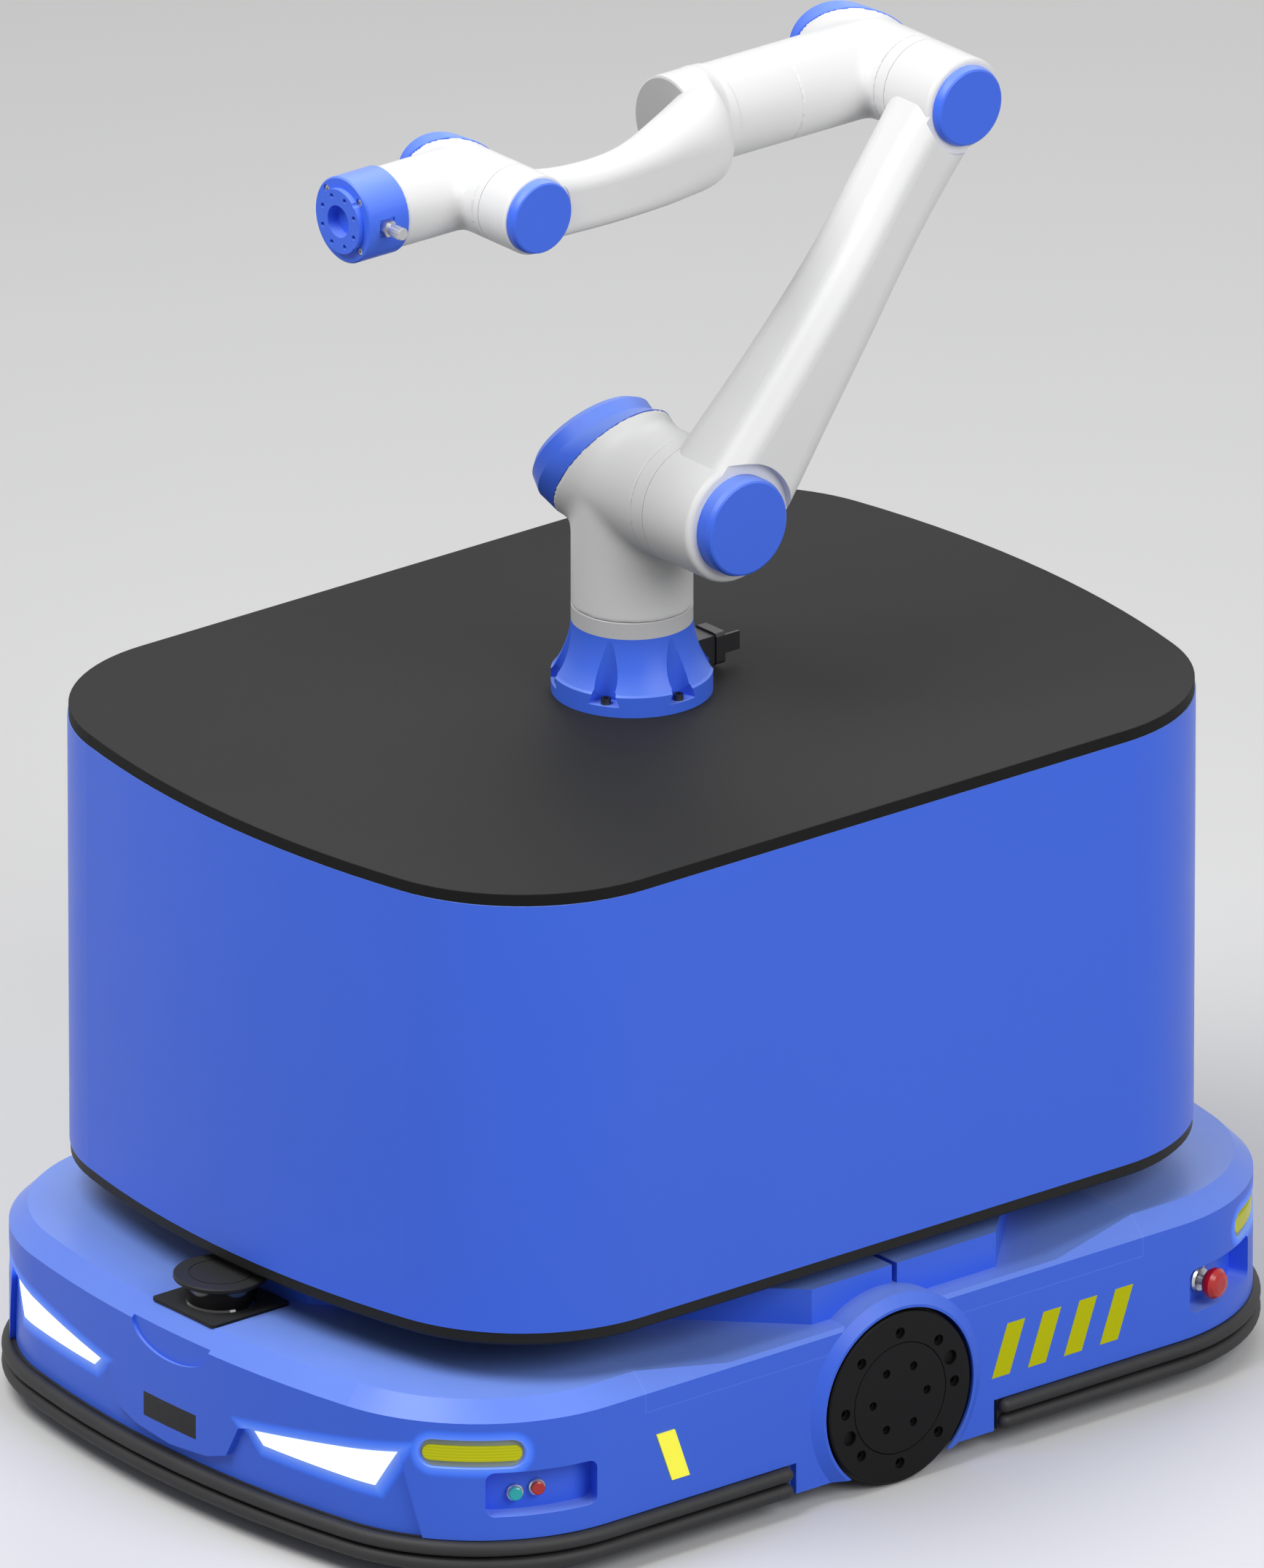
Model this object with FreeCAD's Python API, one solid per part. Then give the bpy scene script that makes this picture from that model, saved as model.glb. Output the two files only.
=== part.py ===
import FreeCAD, Part

import math
import os

V = FreeCAD.Vector
X_AXIS, Y_AXIS, Z_AXIS = V(1, 0, 0), V(0, 1, 0), V(0, 0, 1)
SIDES = (1, -1)

# ---------------------------------------------------------------- driving dimensions (mm)
# The origin is on the floor under the centre of the robot. The front faces -Y.

# Lower body: a plan outline with straight sides, round corners and bowed ends
BODY_HALF_W = 394.0
BODY_HALF_L = 563.0
BODY_CORNER_R = 193.5
BODY_BOW_R = 1220.0
BODY_BOTTOM = 20.0
DECK_TOP = 188.3
DECK_CHAMFER = 18.0
SKIN = 4.0
SILL = 12.5
SILL_TOP = 56.0

# Side lids over the drive bay, lower than the deck
LID_SEAM_Z = 151.3
LID_TOP = 174.0
LID_FROM_END = 259.0
LID_RAMP_L = 104.0
LID_FROM_SIDE = 124.0
LID_HALF_L = BODY_HALF_L - LID_FROM_END
LID_FLAT_HALF_L = LID_HALF_L - LID_RAMP_L
LID_INNER_X = BODY_HALF_W - LID_FROM_SIDE
LID_WALL = 3.0

# Cabinet standing on the body
CAB_FROM_SIDE = 16.0
CAB_FROM_END = 66.7
CAB_HALF_W = BODY_HALF_W - CAB_FROM_SIDE
CAB_HALF_L = BODY_HALF_L - CAB_FROM_END
CAB_CORNER_R = 178.0
CAB_BOW_R = 1088.0
CAB_BASE_Z = 228.2
CAB_WALL_Z = 241.6
ROOF_Z = 674.0
ROOF_TOP = 686.0
CAB_WALL = 3.0
BASE_STEP = 1.0
ROOF_STEP = 0.3
ROOF_CORNER_R = 181.0
ROOF_EDGE = 0.6
FRAME_SIZE, FRAME_WALL = 40.0, 4.0
PEDESTAL_R, PEDESTAL_BORE_R = 60.0, 50.0
PEDESTAL_FOOT_R, PEDESTAL_HEAD_R = 130.0, 95.0
PEDESTAL_FLANGE = 12.0

# Rubber bumper rails
RAIL_R = 7.5
RAIL_PROUD = 0.3
RAIL_Z = (26.7, 43.2)
RAIL_END_Y = 127.0
RAIL_BED = 8.0
RAIL_STRIP = 5.0
RAIL_BED_TOP = 51.5
RAIL_FOOT = 0.3

# Drive wheels and their arches
WHEEL_R = 88.2
WHEEL_PROUD = 7.0
WHEEL_FACE_X = BODY_HALF_W + WHEEL_PROUD
WHEEL_W = 45.0
WHEEL_FACE_R = 86.2
TYRE_INNER_R = 74.0
WHEEL_FLANGE = 8.0
HUB_R = 55.2
HUB_SEAM = 0.9
HUB_WEB = 4.0
RIM_HOLE_PCR = 66.5
RIM_HOLE_COUNT = 8
HUB_HOLE_PCR = 33.0
HUB_HOLE_COUNT = 6
ARCH_R = 104.0
ARCH_LIP_R = 93.0
ARCH_BORE_R = 90.2
ARCH_WALL = 3.0
ARCH_DEPTH = 49.0
ARCH_INNER_X = BODY_HALF_W - ARCH_DEPTH
SHAFT_R = 12.0
SHAFT_FIT = 0.05

# Casters, one near each corner
CASTER_FROM_SIDE = 159.0
CASTER_FROM_END = 143.0
CASTER_X = BODY_HALF_W - CASTER_FROM_SIDE
CASTER_Y = BODY_HALF_L - CASTER_FROM_END
CASTER_R = 37.5
CASTER_W = 28.0
CASTER_TRAIL = 28.0
CASTER_TOP = 96.0
CASTER_AXLE_R = 5.0
CASTER_STEM_R = 8.0
CASTER_CLEAR = 0.5

# Chassis
FLOOR_Z = 40.0
FLOOR_T = 6.0
BRACKET_T = 8.0
BRACKET_FROM_ARCH = 19.0
BRACKET_X = ARCH_INNER_X - BRACKET_FROM_ARCH
MOTOR_R = 34.0
MOTOR_L = 150.0
MOTOR_CAN_L = 88.0
MOTOR_GROOVE = 4.0
BATTERY_HALF_W, BATTERY_HALF_L, BATTERY_H = 130.0, 215.0, 118.0
DRIVE_UNIT_HALF_W, DRIVE_UNIT_H = 110.0, 60.0
DRIVE_UNIT_FROM_END = (263.0, 133.0)
ARM_UNIT_HALF_W, ARM_UNIT_H = 170.0, 150.0
ARM_UNIT_Y = (180.0, 420.0)
FIN_COUNT = 9
POST_X = 150.0
POST_Y = 250.0
POST_R = 20.0
POST_GAP = 0.5

# Raised drive covers on the deck
COVER_TOP = 209.7
COVER_FROM_SIDE = 26.0
COVER_SIDE_X = BODY_HALF_W - COVER_FROM_SIDE
COVER_WALL = 3.0
COVER_SPLIT = (16.6, 22.9)
COVER_FRONT_Y = 81.0
COVER_REAR_Y = 144.0
COVER_FROM_END = 116.0
COVER_NOSE_Y = BODY_HALF_L - COVER_FROM_END
COVER_SHOULDER = 238.0
COVER_NOSE = ((77.0, 27.0), (55.0, 7.0))

# Scanner on the front of the deck
LIDAR_FROM_END = 63.0
LIDAR_Y = LIDAR_FROM_END - BODY_HALF_L
LIDAR_PLATE = 94.0
LIDAR_PLATE_T = 2.9
LIDAR_R1 = 32.7
LIDAR_R2 = 39.0
LIDAR_NECK_TOP = 214.0
LIDAR_RIM_R = 45.3
LIDAR_TOP = 219.4

# Front mask, lamps, pockets
MASK_DEPTH = 6.0
MASK_WALL = 10.5
LAMP_T = 3.0
WINDOW_W, WINDOW_H, WINDOW_Z = 79.0, 24.5, 89.3
EMBLEM_W, EMBLEM_BOTTOM, EMBLEM_DEPTH = 115.0, 144.0, 3.0
INDICATOR_ANGLE = 40.8
INDICATOR_Z = 138.7
INDICATOR_W, INDICATOR_H = 94.0, 15.0
INDICATOR_RECESS_W, INDICATOR_RECESS_H = 102.4, 29.0
INDICATOR_DEPTH = 4.0
POCKET_ANGLE = 20.4
POCKET_W, POCKET_Z0, POCKET_Z1 = 110.9, 75.0, 120.0
POCKET_DEPTH = 20.0
POCKET_CORNER = 9.0
BUTTON_ANGLES = (27.8, 20.8)
BUTTON_Z = (92.0, 95.5)
BEZEL_R = 8.5
BUTTON_R = 6.6
BUTTON_TRAVEL = 3.0
ESTOP_ANGLE = 14.2
ESTOP_Z = 97.0
ESTOP_R = 15.0
ESTOP_TRAVEL = 5.0
ESTOP_STEM_R = 5.0
REFLECTOR_EDGES = ((126.0, (-291.6, -269.8)), (75.0, (-272.9, -251.6)))

# Arm axes and joint faces
SHOULDER_Z = 901.7
ELBOW_Y, ELBOW_Z = 293.2, 1246.5
WRIST_Y = -200.9
SEAM = 0.3
BASE_R = 76.8
BASE_RIM_H = 22.0
BASE_FLARE_TOP = 758.0
COLUMN_R = 58.0
J1_Z = 774.6
BOLT_PCR = 69.2
BOLT_COUNT = 6
BOLT_SEAT_H = 10.0
SHOULDER_R = 59.5
J2_X = 71.0
UPPER_BOSS_END = 156.0
UPPER_CAP_R, UPPER_CAP_END = 48.5, 174.3
ELBOW_R = 46.0
J3_X = 57.5
ELBOW_BOSS_END = 137.0
ELBOW_CAP_R, ELBOW_CAP_END = 39.5, 146.5
FOREARM_R = 46.5
J4_Y = 170.0
HEAD_R = 48.0
HEAD_Y0, HEAD_Y1 = 42.5, 93.0
WRIST_R = 39.5
J5_X = 58.0
WRIST_BOSS_END = 105.0
WRIST_CAP_R, WRIST_CAP_END = 36.0, 115.3
J6_Y = -301.7
TOOL_R = 42.0
TOOL_FACE_Y = -349.0
TOOL_RING_R = 31.4
TOOL_END_Y = -354.8
TOOL_BORE_R = 15.75
TOOL_BORE_DEPTH = 12.0
TOOL_PCD = 50.0
TOOL_HOLES = 8
TOOL_HOLE_R = 2.5

# Base plug
PLUG_HALF_W = 14.0
PLUG_Y = (66.0, 99.0)
PLUG_Z = (692.6, 721.0)
PLUG_RING = 2.2
PLUG_TAB_END_Y = 123.5

# Bend housings: tilt of the oval seat, then rings of (height, slide, half sizes) from seat to cap face
SHOULDER_TILT = 35.0
SHOULDER_RINGS = ((27.4, -12.8, 79.0, 61.8), (46.1, -23.5, 68.0, 65.5), (60.0, -21.0, 64.5, 65.0),
                  (66.0, -21.0, 58.5, 59.0))
ELBOW_TILT = 45.0
ELBOW_RINGS = ((24.0, -18.0, 60.0, 48.0), (26.0, -19.5, 60.0, 48.8), (36.0, -33.0, 50.5, 50.0),
               (41.0, -34.0, 45.5, 45.0))
WRIST_TILT = 42.0
WRIST_RINGS = ((17.0, -12.3, 49.0, 40.0), (19.0, -13.8, 49.0, 40.7), (28.5, -24.4, 41.5, 41.3),
               (33.0, -25.2, 37.0, 36.8))

# Links: stations of the upper arm (share of its length, x, half sizes) and of the forearm
# (y, x, rise, half sizes, corner radius)
UPPER_STATIONS = ((0.00, 122.0, 44.0, 51.5), (0.13, 121.6, 44.0, 50.5), (0.25, 121.3, 41.5, 47.0),
                  (0.37, 120.6, 39.5, 43.8), (0.48, 119.2, 38.0, 41.2), (0.60, 116.0, 37.0, 38.6),
                  (0.72, 112.0, 36.0, 38.0), (0.84, 108.8, 36.0, 38.5), (1.00, 106.5, 36.0, 40.0))
UPPER_CORNER_R = 25.0
FOREARM_STATIONS = ((88.0, 0.0, 0.0, 47.0, 47.0, 46.0), (62.0, 30.0, 0.0, 45.5, 46.3, 43.5),
                    (40.0, 47.5, 0.0, 43.5, 45.0, 41.0), (20.0, 56.0, -0.4, 40.0, 43.0, 36.0),
                    (0.0, 63.0, -1.0, 36.0, 40.0, 30.0), (-25.0, 71.0, -2.0, 31.5, 36.8, 24.0),
                    (-55.0, 79.0, -3.2, 26.5, 33.3, 19.0), (-90.0, 85.0, -3.7, 23.0, 31.0, 16.0),
                    (-130.0, 86.0, -3.5, 22.0, 30.5, 15.0), (-170.0, 84.0, -1.8, 22.5, 32.0, 15.0),
                    (-200.9, 82.5, 0.0, 22.5, 33.0, 15.0))
BOSS_EDGE = (6.0, 5.0, 2.5)
WRIST_SWEEP_R = 75.0


# ---------------------------------------------------------------- helpers
def polar(radius, degrees, z=0.0):
    a = math.radians(degrees)
    return V(radius * math.cos(a), radius * math.sin(a), z)


def box(x0, x1, y0, y1, z0, z1):
    return Part.makeBox(x1 - x0, y1 - y0, z1 - z0, V(x0, y0, z0))


def rod(radius, start, direction, length):
    return Part.makeCylinder(radius, length, start, direction)


def fuse(first, *rest):
    return first.fuse(list(rest)).removeSplitter()


def polygon(points):
    return Part.makePolygon(list(points) + [points[0]])


def prism(points, direction):
    return Part.Face(polygon(points)).extrude(direction)


def mirrored(shape, normal=X_AXIS):
    return shape.mirror(V(0, 0, 0), normal)


def revolve_x(profile, y, z):
    """Turn (x, r) points about the line parallel to X through (y, z)."""
    wire = polygon([V(x, y, z + r) for x, r in profile])
    return Part.Face(wire).revolve(V(0, y, z), X_AXIS, 360)


def revolve_y(profile, x, z):
    """Turn (y, r) points about the line parallel to Y through (x, z)."""
    wire = polygon([V(x, y, z + r) for y, r in profile])
    return Part.Face(wire).revolve(V(x, 0, z), Y_AXIS, 360)


def revolve_z(profile, x, y):
    """Turn (z, r) points about the vertical line through (x, y)."""
    wire = polygon([V(x + r, y, z) for z, r in profile])
    return Part.Face(wire).revolve(V(x, y, 0), Z_AXIS, 360)


def corner_centre(half_w, half_l, corner_r, bow_r):
    """Centre of the front +X corner arc of a plan outline, as (x, -y)."""
    span = math.sqrt((bow_r - corner_r) ** 2 - (half_w - corner_r) ** 2)
    return half_w - corner_r, half_l - bow_r + span


def outline_points(half_w, half_l, corner_r, bow_r):
    """Side end, corner middle, bow end and bow top of one quarter of an outline."""
    cx, cy = corner_centre(half_w, half_l, corner_r, bow_r)
    turn = math.atan2(cy - half_l + bow_r, cx)
    mid = (cx + corner_r * math.cos(turn / 2), cy + corner_r * math.sin(turn / 2))
    end = (cx + corner_r * math.cos(turn), cy + corner_r * math.sin(turn))
    return (half_w, cy), mid, end, (0.0, half_l)


def outline(half_w, half_l, corner_r, bow_r, z):
    """Closed plan outline with straight sides, round corners and bowed ends."""
    side, mid, end, top = outline_points(half_w, half_l, corner_r, bow_r)

    def at(p, sx, sy):
        return V(p[0] * sx, p[1] * sy, z)

    edges = [Part.makeLine(at(side, 1, -1), at(side, 1, 1)),
             Part.Arc(at(side, 1, 1), at(mid, 1, 1), at(end, 1, 1)).toShape(),
             Part.Arc(at(end, 1, 1), at(top, 1, 1), at(end, -1, 1)).toShape(),
             Part.Arc(at(end, -1, 1), at(mid, -1, 1), at(side, -1, 1)).toShape(),
             Part.makeLine(at(side, -1, 1), at(side, -1, -1)),
             Part.Arc(at(side, -1, -1), at(mid, -1, -1), at(end, -1, -1)).toShape(),
             Part.Arc(at(end, -1, -1), at(top, 1, -1), at(end, 1, -1)).toShape(),
             Part.Arc(at(end, 1, -1), at(mid, 1, -1), at(side, 1, -1)).toShape()]
    return Part.Wire(edges)


def body_slab(inset, z0, z1):
    wire = outline(BODY_HALF_W - inset, BODY_HALF_L - inset, BODY_CORNER_R - inset,
                   BODY_BOW_R - inset, z0)
    return Part.Face(wire).extrude(V(0, 0, z1 - z0))


def cabinet_slab(inset, z0, z1):
    wire = outline(CAB_HALF_W - inset, CAB_HALF_L - inset, CAB_CORNER_R - inset,
                   CAB_BOW_R - inset, z0)
    return Part.Face(wire).extrude(V(0, 0, z1 - z0))


def edges_at_z(shape, z):
    return [e for e in shape.Edges if abs(e.BoundBox.ZMin - z) < 0.01 and abs(e.BoundBox.ZMax - z) < 0.01]


def edges_at_x(shape, x):
    return [e for e in shape.Edges if abs(e.BoundBox.XMin - x) < 0.01 and abs(e.BoundBox.XMax - x) < 0.01]


def in_corner(angle, sx, sy):
    """Frame of one body corner: arc centre, outward and tangent directions at an angle from the side."""
    cx, cy = corner_centre(BODY_HALF_W, BODY_HALF_L, BODY_CORNER_R, BODY_BOW_R)
    a = math.radians(angle)
    out = V(sx * math.cos(a), sy * math.sin(a), 0)
    along = V(-sx * math.sin(a), sy * math.cos(a), 0)
    return V(sx * cx, sy * cy, 0), out, along


def corner_window(angle, sx, sy, width, z0, z1, corner_r, near, far):
    """Rounded rectangular prism through a body corner, between two distances from the arc centre."""
    centre, out, along = in_corner(angle, sx, sy)
    start = centre + out * near
    half = width / 2
    p = [start + along * a + Z_AXIS * z for a, z in ((-half, z0), (half, z0), (half, z1), (-half, z1))]
    solid = prism(p, out * (far - near))
    across = [e for e in solid.Edges if abs(abs(e.tangentAt(e.FirstParameter).dot(out)) - 1) < 1e-6]
    return solid.makeFillet(corner_r, across)


def on_corner(shape_at_origin, angle, sx, sy, radius, z):
    """Move a shape built along +X at the origin to face outwards from a body corner."""
    centre, out, _ = in_corner(angle, sx, sy)
    shape = shape_at_origin.copy()
    shape.rotate(V(0, 0, 0), Z_AXIS, math.degrees(math.atan2(out.y, out.x)))
    shape.translate(centre + out * radius + Z_AXIS * z)
    return shape


def front_prism(points, y0=-700.0, y1=-300.0):
    """Prism along Y from outline points given as (x, z)."""
    return prism([V(x, y0, z) for x, z in points], V(0, y1 - y0, 0))


def oval(centre, e1, e2, r1, r2):
    """Closed elliptic wire about a centre, with its two half axes along e1 and e2."""
    normal = e1.cross(e2)
    if abs(r1 - r2) < 1e-3:
        r1 = r2 + 1e-3
    major, minor, axis = (r1, r2, e1) if r1 >= r2 else (r2, r1, e2)
    ellipse = Part.Ellipse(centre + axis * major, centre + normal.cross(axis) * minor, centre)
    return Part.Wire(ellipse.toShape())


# ---------------------------------------------------------------- lower body
def body_envelope():
    """Outer solid of the lower body, with the drive bay tops taken down to the lids."""
    slab = body_slab(0, BODY_BOTTOM, DECK_TOP)
    slab = slab.makeChamfer(DECK_CHAMFER, edges_at_z(slab, DECK_TOP))
    above = DECK_TOP + 20
    ramp = [(-LID_HALF_L, DECK_TOP), (-LID_FLAT_HALF_L, LID_TOP), (LID_FLAT_HALF_L, LID_TOP),
            (LID_HALF_L, DECK_TOP), (LID_HALF_L, above), (-LID_HALF_L, above)]
    for sx in SIDES:
        points = [V(sx * LID_INNER_X, y, z) for y, z in ramp]
        slab = slab.cut(prism(points, V(sx * (BODY_HALF_W - LID_INNER_X + 10), 0, 0)))
    return slab


def body_hollow(bottom):
    """Inner space of the body skin, chamfered like the deck edge."""
    hollow = body_slab(SKIN, bottom, DECK_TOP - SKIN)
    return hollow.makeChamfer(DECK_CHAMFER - SKIN * (2 - math.sqrt(2)), edges_at_z(hollow, DECK_TOP - SKIN))


def lid_zone(sx, bottom):
    return box(*sorted((sx * LID_INNER_X, sx * (BODY_HALF_W + 10))), -LID_HALF_L, LID_HALF_L, bottom, DECK_TOP + 10)


def side_lids(envelope):
    """Covers over the drive bays: a side wall above the seam and a top with ramped ends."""
    lids = []
    hollow = body_hollow(BODY_BOTTOM)
    for sx in SIDES:
        lid = envelope.common(lid_zone(sx, LID_SEAM_Z))
        low = LID_SEAM_Z - 10
        ramp = [(-LID_HALF_L - 1, DECK_TOP - LID_WALL), (-LID_FLAT_HALF_L, LID_TOP - LID_WALL),
                (LID_FLAT_HALF_L, LID_TOP - LID_WALL), (LID_HALF_L + 1, DECK_TOP - LID_WALL),
                (LID_HALF_L + 1, low), (-LID_HALF_L - 1, low)]
        points = [V(sx * (LID_INNER_X - 1), y, z) for y, z in ramp]
        under = prism(points, V(sx * (BODY_HALF_W - LID_INNER_X), 0, 0))
        lid = lid.cut(hollow.common(under))
        upstand = box(*sorted((sx * LID_INNER_X, sx * (LID_INNER_X + LID_WALL))),
                      -LID_HALF_L, LID_HALF_L, LID_TOP - LID_WALL, DECK_TOP)
        lid = lid.fuse(upstand).removeSplitter()
        lids.append(lid.cut(arch_space(sx)))
    return Part.makeCompound(lids)


def arch_space(sx, radius=ARCH_R):
    return rod(radius, V(sx * ARCH_INNER_X, 0, WHEEL_R), V(sx, 0, 0), 80)


def wheel_arches():
    """Wheel housings: a round tunnel with a coned outer lip, open at the bottom."""
    arches = []
    for sx in SIDES:
        profile = [(ARCH_INNER_X, ARCH_R), (BODY_HALF_W, ARCH_R), (WHEEL_FACE_X, ARCH_LIP_R),
                   (WHEEL_FACE_X, ARCH_BORE_R), (WHEEL_FACE_X - 3, ARCH_BORE_R),
                   (BODY_HALF_W - 3, ARCH_R - ARCH_WALL), (ARCH_INNER_X + ARCH_WALL, ARCH_R - ARCH_WALL),
                   (ARCH_INNER_X + ARCH_WALL, MOTOR_R + 4), (ARCH_INNER_X, MOTOR_R + 4)]
        arch = revolve_x([(sx * x, r) for x, r in profile], 0, WHEEL_R)
        low = box(-500, 500, -150, 150, -50, BODY_BOTTOM)
        arches.append(arch.cut(low))
    return Part.makeCompound(arches)


def mask_outline(grow=0.0):
    """Lower front area set back behind the mask: chin, headlight brow and outer ends, as (x, z)."""
    low = BODY_BOTTOM - 10
    right = [(0, 60 + grow), (55, 65 + grow), (82, 74 + grow), (99, 107 + grow), (112, 111 + grow),
             (236, 128 + grow), (291 + grow, 139 + grow), (322 + grow, low)]
    return right + [(-x, z) for x, z in reversed(right[1:])]


LAMP_OUTLINE = [(116, 108), (128, 97), (264.5, 95), (286, 133), (233, 125)]


def lamp_prism(sx, grow=0.0):
    return front_prism([(sx * x, z) for x, z in LAMP_OUTLINE])


def window_prism():
    w, h = WINDOW_W / 2, WINDOW_H / 2
    return front_prism([(-w, WINDOW_Z - h), (w, WINDOW_Z - h), (w, WINDOW_Z + h), (-w, WINDOW_Z + h)])


def emblem_recess():
    """Shallow scoop at the top of the front: half an ellipse seen from the front."""
    half = EMBLEM_W / 2
    depth = DECK_TOP - DECK_CHAMFER - EMBLEM_BOTTOM
    ellipse = Part.Ellipse(V(0, -700, 0), half, depth)
    ellipse.Axis = V(0, -1, 0)
    ellipse.XAxis = X_AXIS
    ellipse.Center = V(0, -700, DECK_TOP - DECK_CHAMFER)
    whole = Part.Face(Part.Wire(ellipse.toShape())).extrude(V(0, 400, 0))
    above = box(-half, half, -700, -300, DECK_TOP - DECK_CHAMFER, DECK_TOP + 20)
    return whole.fuse(above)


def indicator_prism(sx, sy, width, height):
    r = height / 2 - 0.1
    return corner_window(INDICATOR_ANGLE, sx, sy, width, INDICATOR_Z - height / 2,
                         INDICATOR_Z + height / 2, r, BODY_CORNER_R - 40, BODY_CORNER_R + 40)


def pocket_prism(sx, sy, grow=0.0):
    return corner_window(POCKET_ANGLE, sx, sy, POCKET_W + 2 * grow, POCKET_Z0 - grow, POCKET_Z1 + grow,
                         POCKET_CORNER + grow, BODY_CORNER_R - 45, BODY_CORNER_R + 40)


def band(inset_outer, inset_inner, z0=BODY_BOTTOM - 10, z1=DECK_TOP + 10):
    """Everything between two insets of the body outline."""
    return body_slab(inset_outer, z0, z1).cut(body_slab(inset_inner, z0 - 1, z1 + 1))


def body_shell(envelope):
    hollow = body_hollow(SILL_TOP).fuse(body_slab(SILL, BODY_BOTTOM - 1, SILL_TOP))
    pads = [front_prism(mask_outline(MASK_WALL - MASK_DEPTH)).common(band(SKIN - 1, MASK_WALL, z1=DECK_TOP - 30))]
    recesses = [front_prism(mask_outline()).common(band(-5, MASK_DEPTH))]
    recesses.append(emblem_recess().common(band(-5, EMBLEM_DEPTH)))
    recesses.append(window_prism().common(band(-5, LAMP_T)))
    for sx in SIDES:
        recesses.append(lamp_prism(sx).common(band(MASK_DEPTH - 1, MASK_DEPTH + LAMP_T - 1)))
        for sy in SIDES:
            grown = indicator_prism(sx, sy, INDICATOR_RECESS_W + 8, INDICATOR_RECESS_H + 8)
            pads.append(grown.common(band(SKIN - 1, INDICATOR_DEPTH + SKIN)))
            recess = indicator_prism(sx, sy, INDICATOR_RECESS_W, INDICATOR_RECESS_H)
            recesses.append(recess.common(band(-5, INDICATOR_DEPTH)))
            pads.append(pocket_prism(sx, sy, SKIN).common(band(SKIN - 1, POCKET_DEPTH + SKIN)))
            recesses.append(pocket_prism(sx, sy).common(band(-5, POCKET_DEPTH)))
    shell = envelope.cut(hollow.cut(Part.makeCompound(pads)))
    for recess in recesses:
        shell = shell.cut(recess)
    bed = band(-5, RAIL_BED, BODY_BOTTOM - 2, RAIL_BED_TOP)
    bed = bed.cut(box(-500, 500, -RAIL_END_Y + 6, RAIL_END_Y - 6, 0, 100))
    shell = shell.cut(bed)
    for sx in SIDES:
        shell = shell.cut(lid_zone(sx, LID_SEAM_Z)).cut(arch_space(sx))
    posts = [rod(POST_R + POST_GAP, V(x * POST_X, y * POST_Y, 100), Z_AXIS, 120) for x in SIDES for y in SIDES]
    stem_hole = rod(ESTOP_STEM_R + 0.5, V(-SKIN - 2, 0, 0), X_AXIS, SKIN + 4)
    posts.append(on_corner(stem_hole, ESTOP_ANGLE, 1, 1, BODY_CORNER_R - POCKET_DEPTH, ESTOP_Z))
    return shell.cut(Part.makeCompound(posts))


def headlights():
    lamps = []
    for sx in SIDES:
        lamps.append(lamp_prism(sx).common(band(MASK_DEPTH - 1, MASK_DEPTH + LAMP_T - 1)))
    return Part.makeCompound(lamps)


def indicator_lenses():
    lenses = []
    for sx in SIDES:
        for sy in SIDES:
            lens = indicator_prism(sx, sy, INDICATOR_W, INDICATOR_H)
            lenses.append(lens.common(band(1.5, INDICATOR_DEPTH)))
    return Part.makeCompound(lenses)


def camera_window():
    return window_prism().common(band(0, LAMP_T))


def rail_profile(edge, tubes):
    """Cross-section of the bumper at the start of one outline edge: flat strip, with or without tubes."""
    start, along = edge.valueAt(edge.FirstParameter), edge.tangentAt(edge.FirstParameter)
    out = V(along.y, -along.x, 0)
    if out.dot(start) < 0:
        out = out * -1

    def at(n, z):
        return V(start.x, start.y, z) + out * n

    face = RAIL_STRIP - RAIL_BED
    bite = math.sqrt(RAIL_R ** 2 - (RAIL_PROUD - face) ** 2)
    low = RAIL_Z[0] - bite - RAIL_FOOT
    points = [at(-RAIL_BED, low), at(face, low)]
    edges = [Part.makeLine(*points)]
    last = points[-1]
    if tubes:
        for z in RAIL_Z:
            edges.append(Part.makeLine(last, at(face, z - bite)))
            last = at(face, z + bite)
            edges.append(Part.Arc(at(face, z - bite), at(RAIL_PROUD + RAIL_R, z), last).toShape())
    corners = [last, at(face, RAIL_BED_TOP), at(-RAIL_BED, RAIL_BED_TOP), points[0]]
    edges += [Part.makeLine(p, q) for p, q in zip(corners, corners[1:])]
    return Part.Face(Part.Wire(edges))


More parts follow.
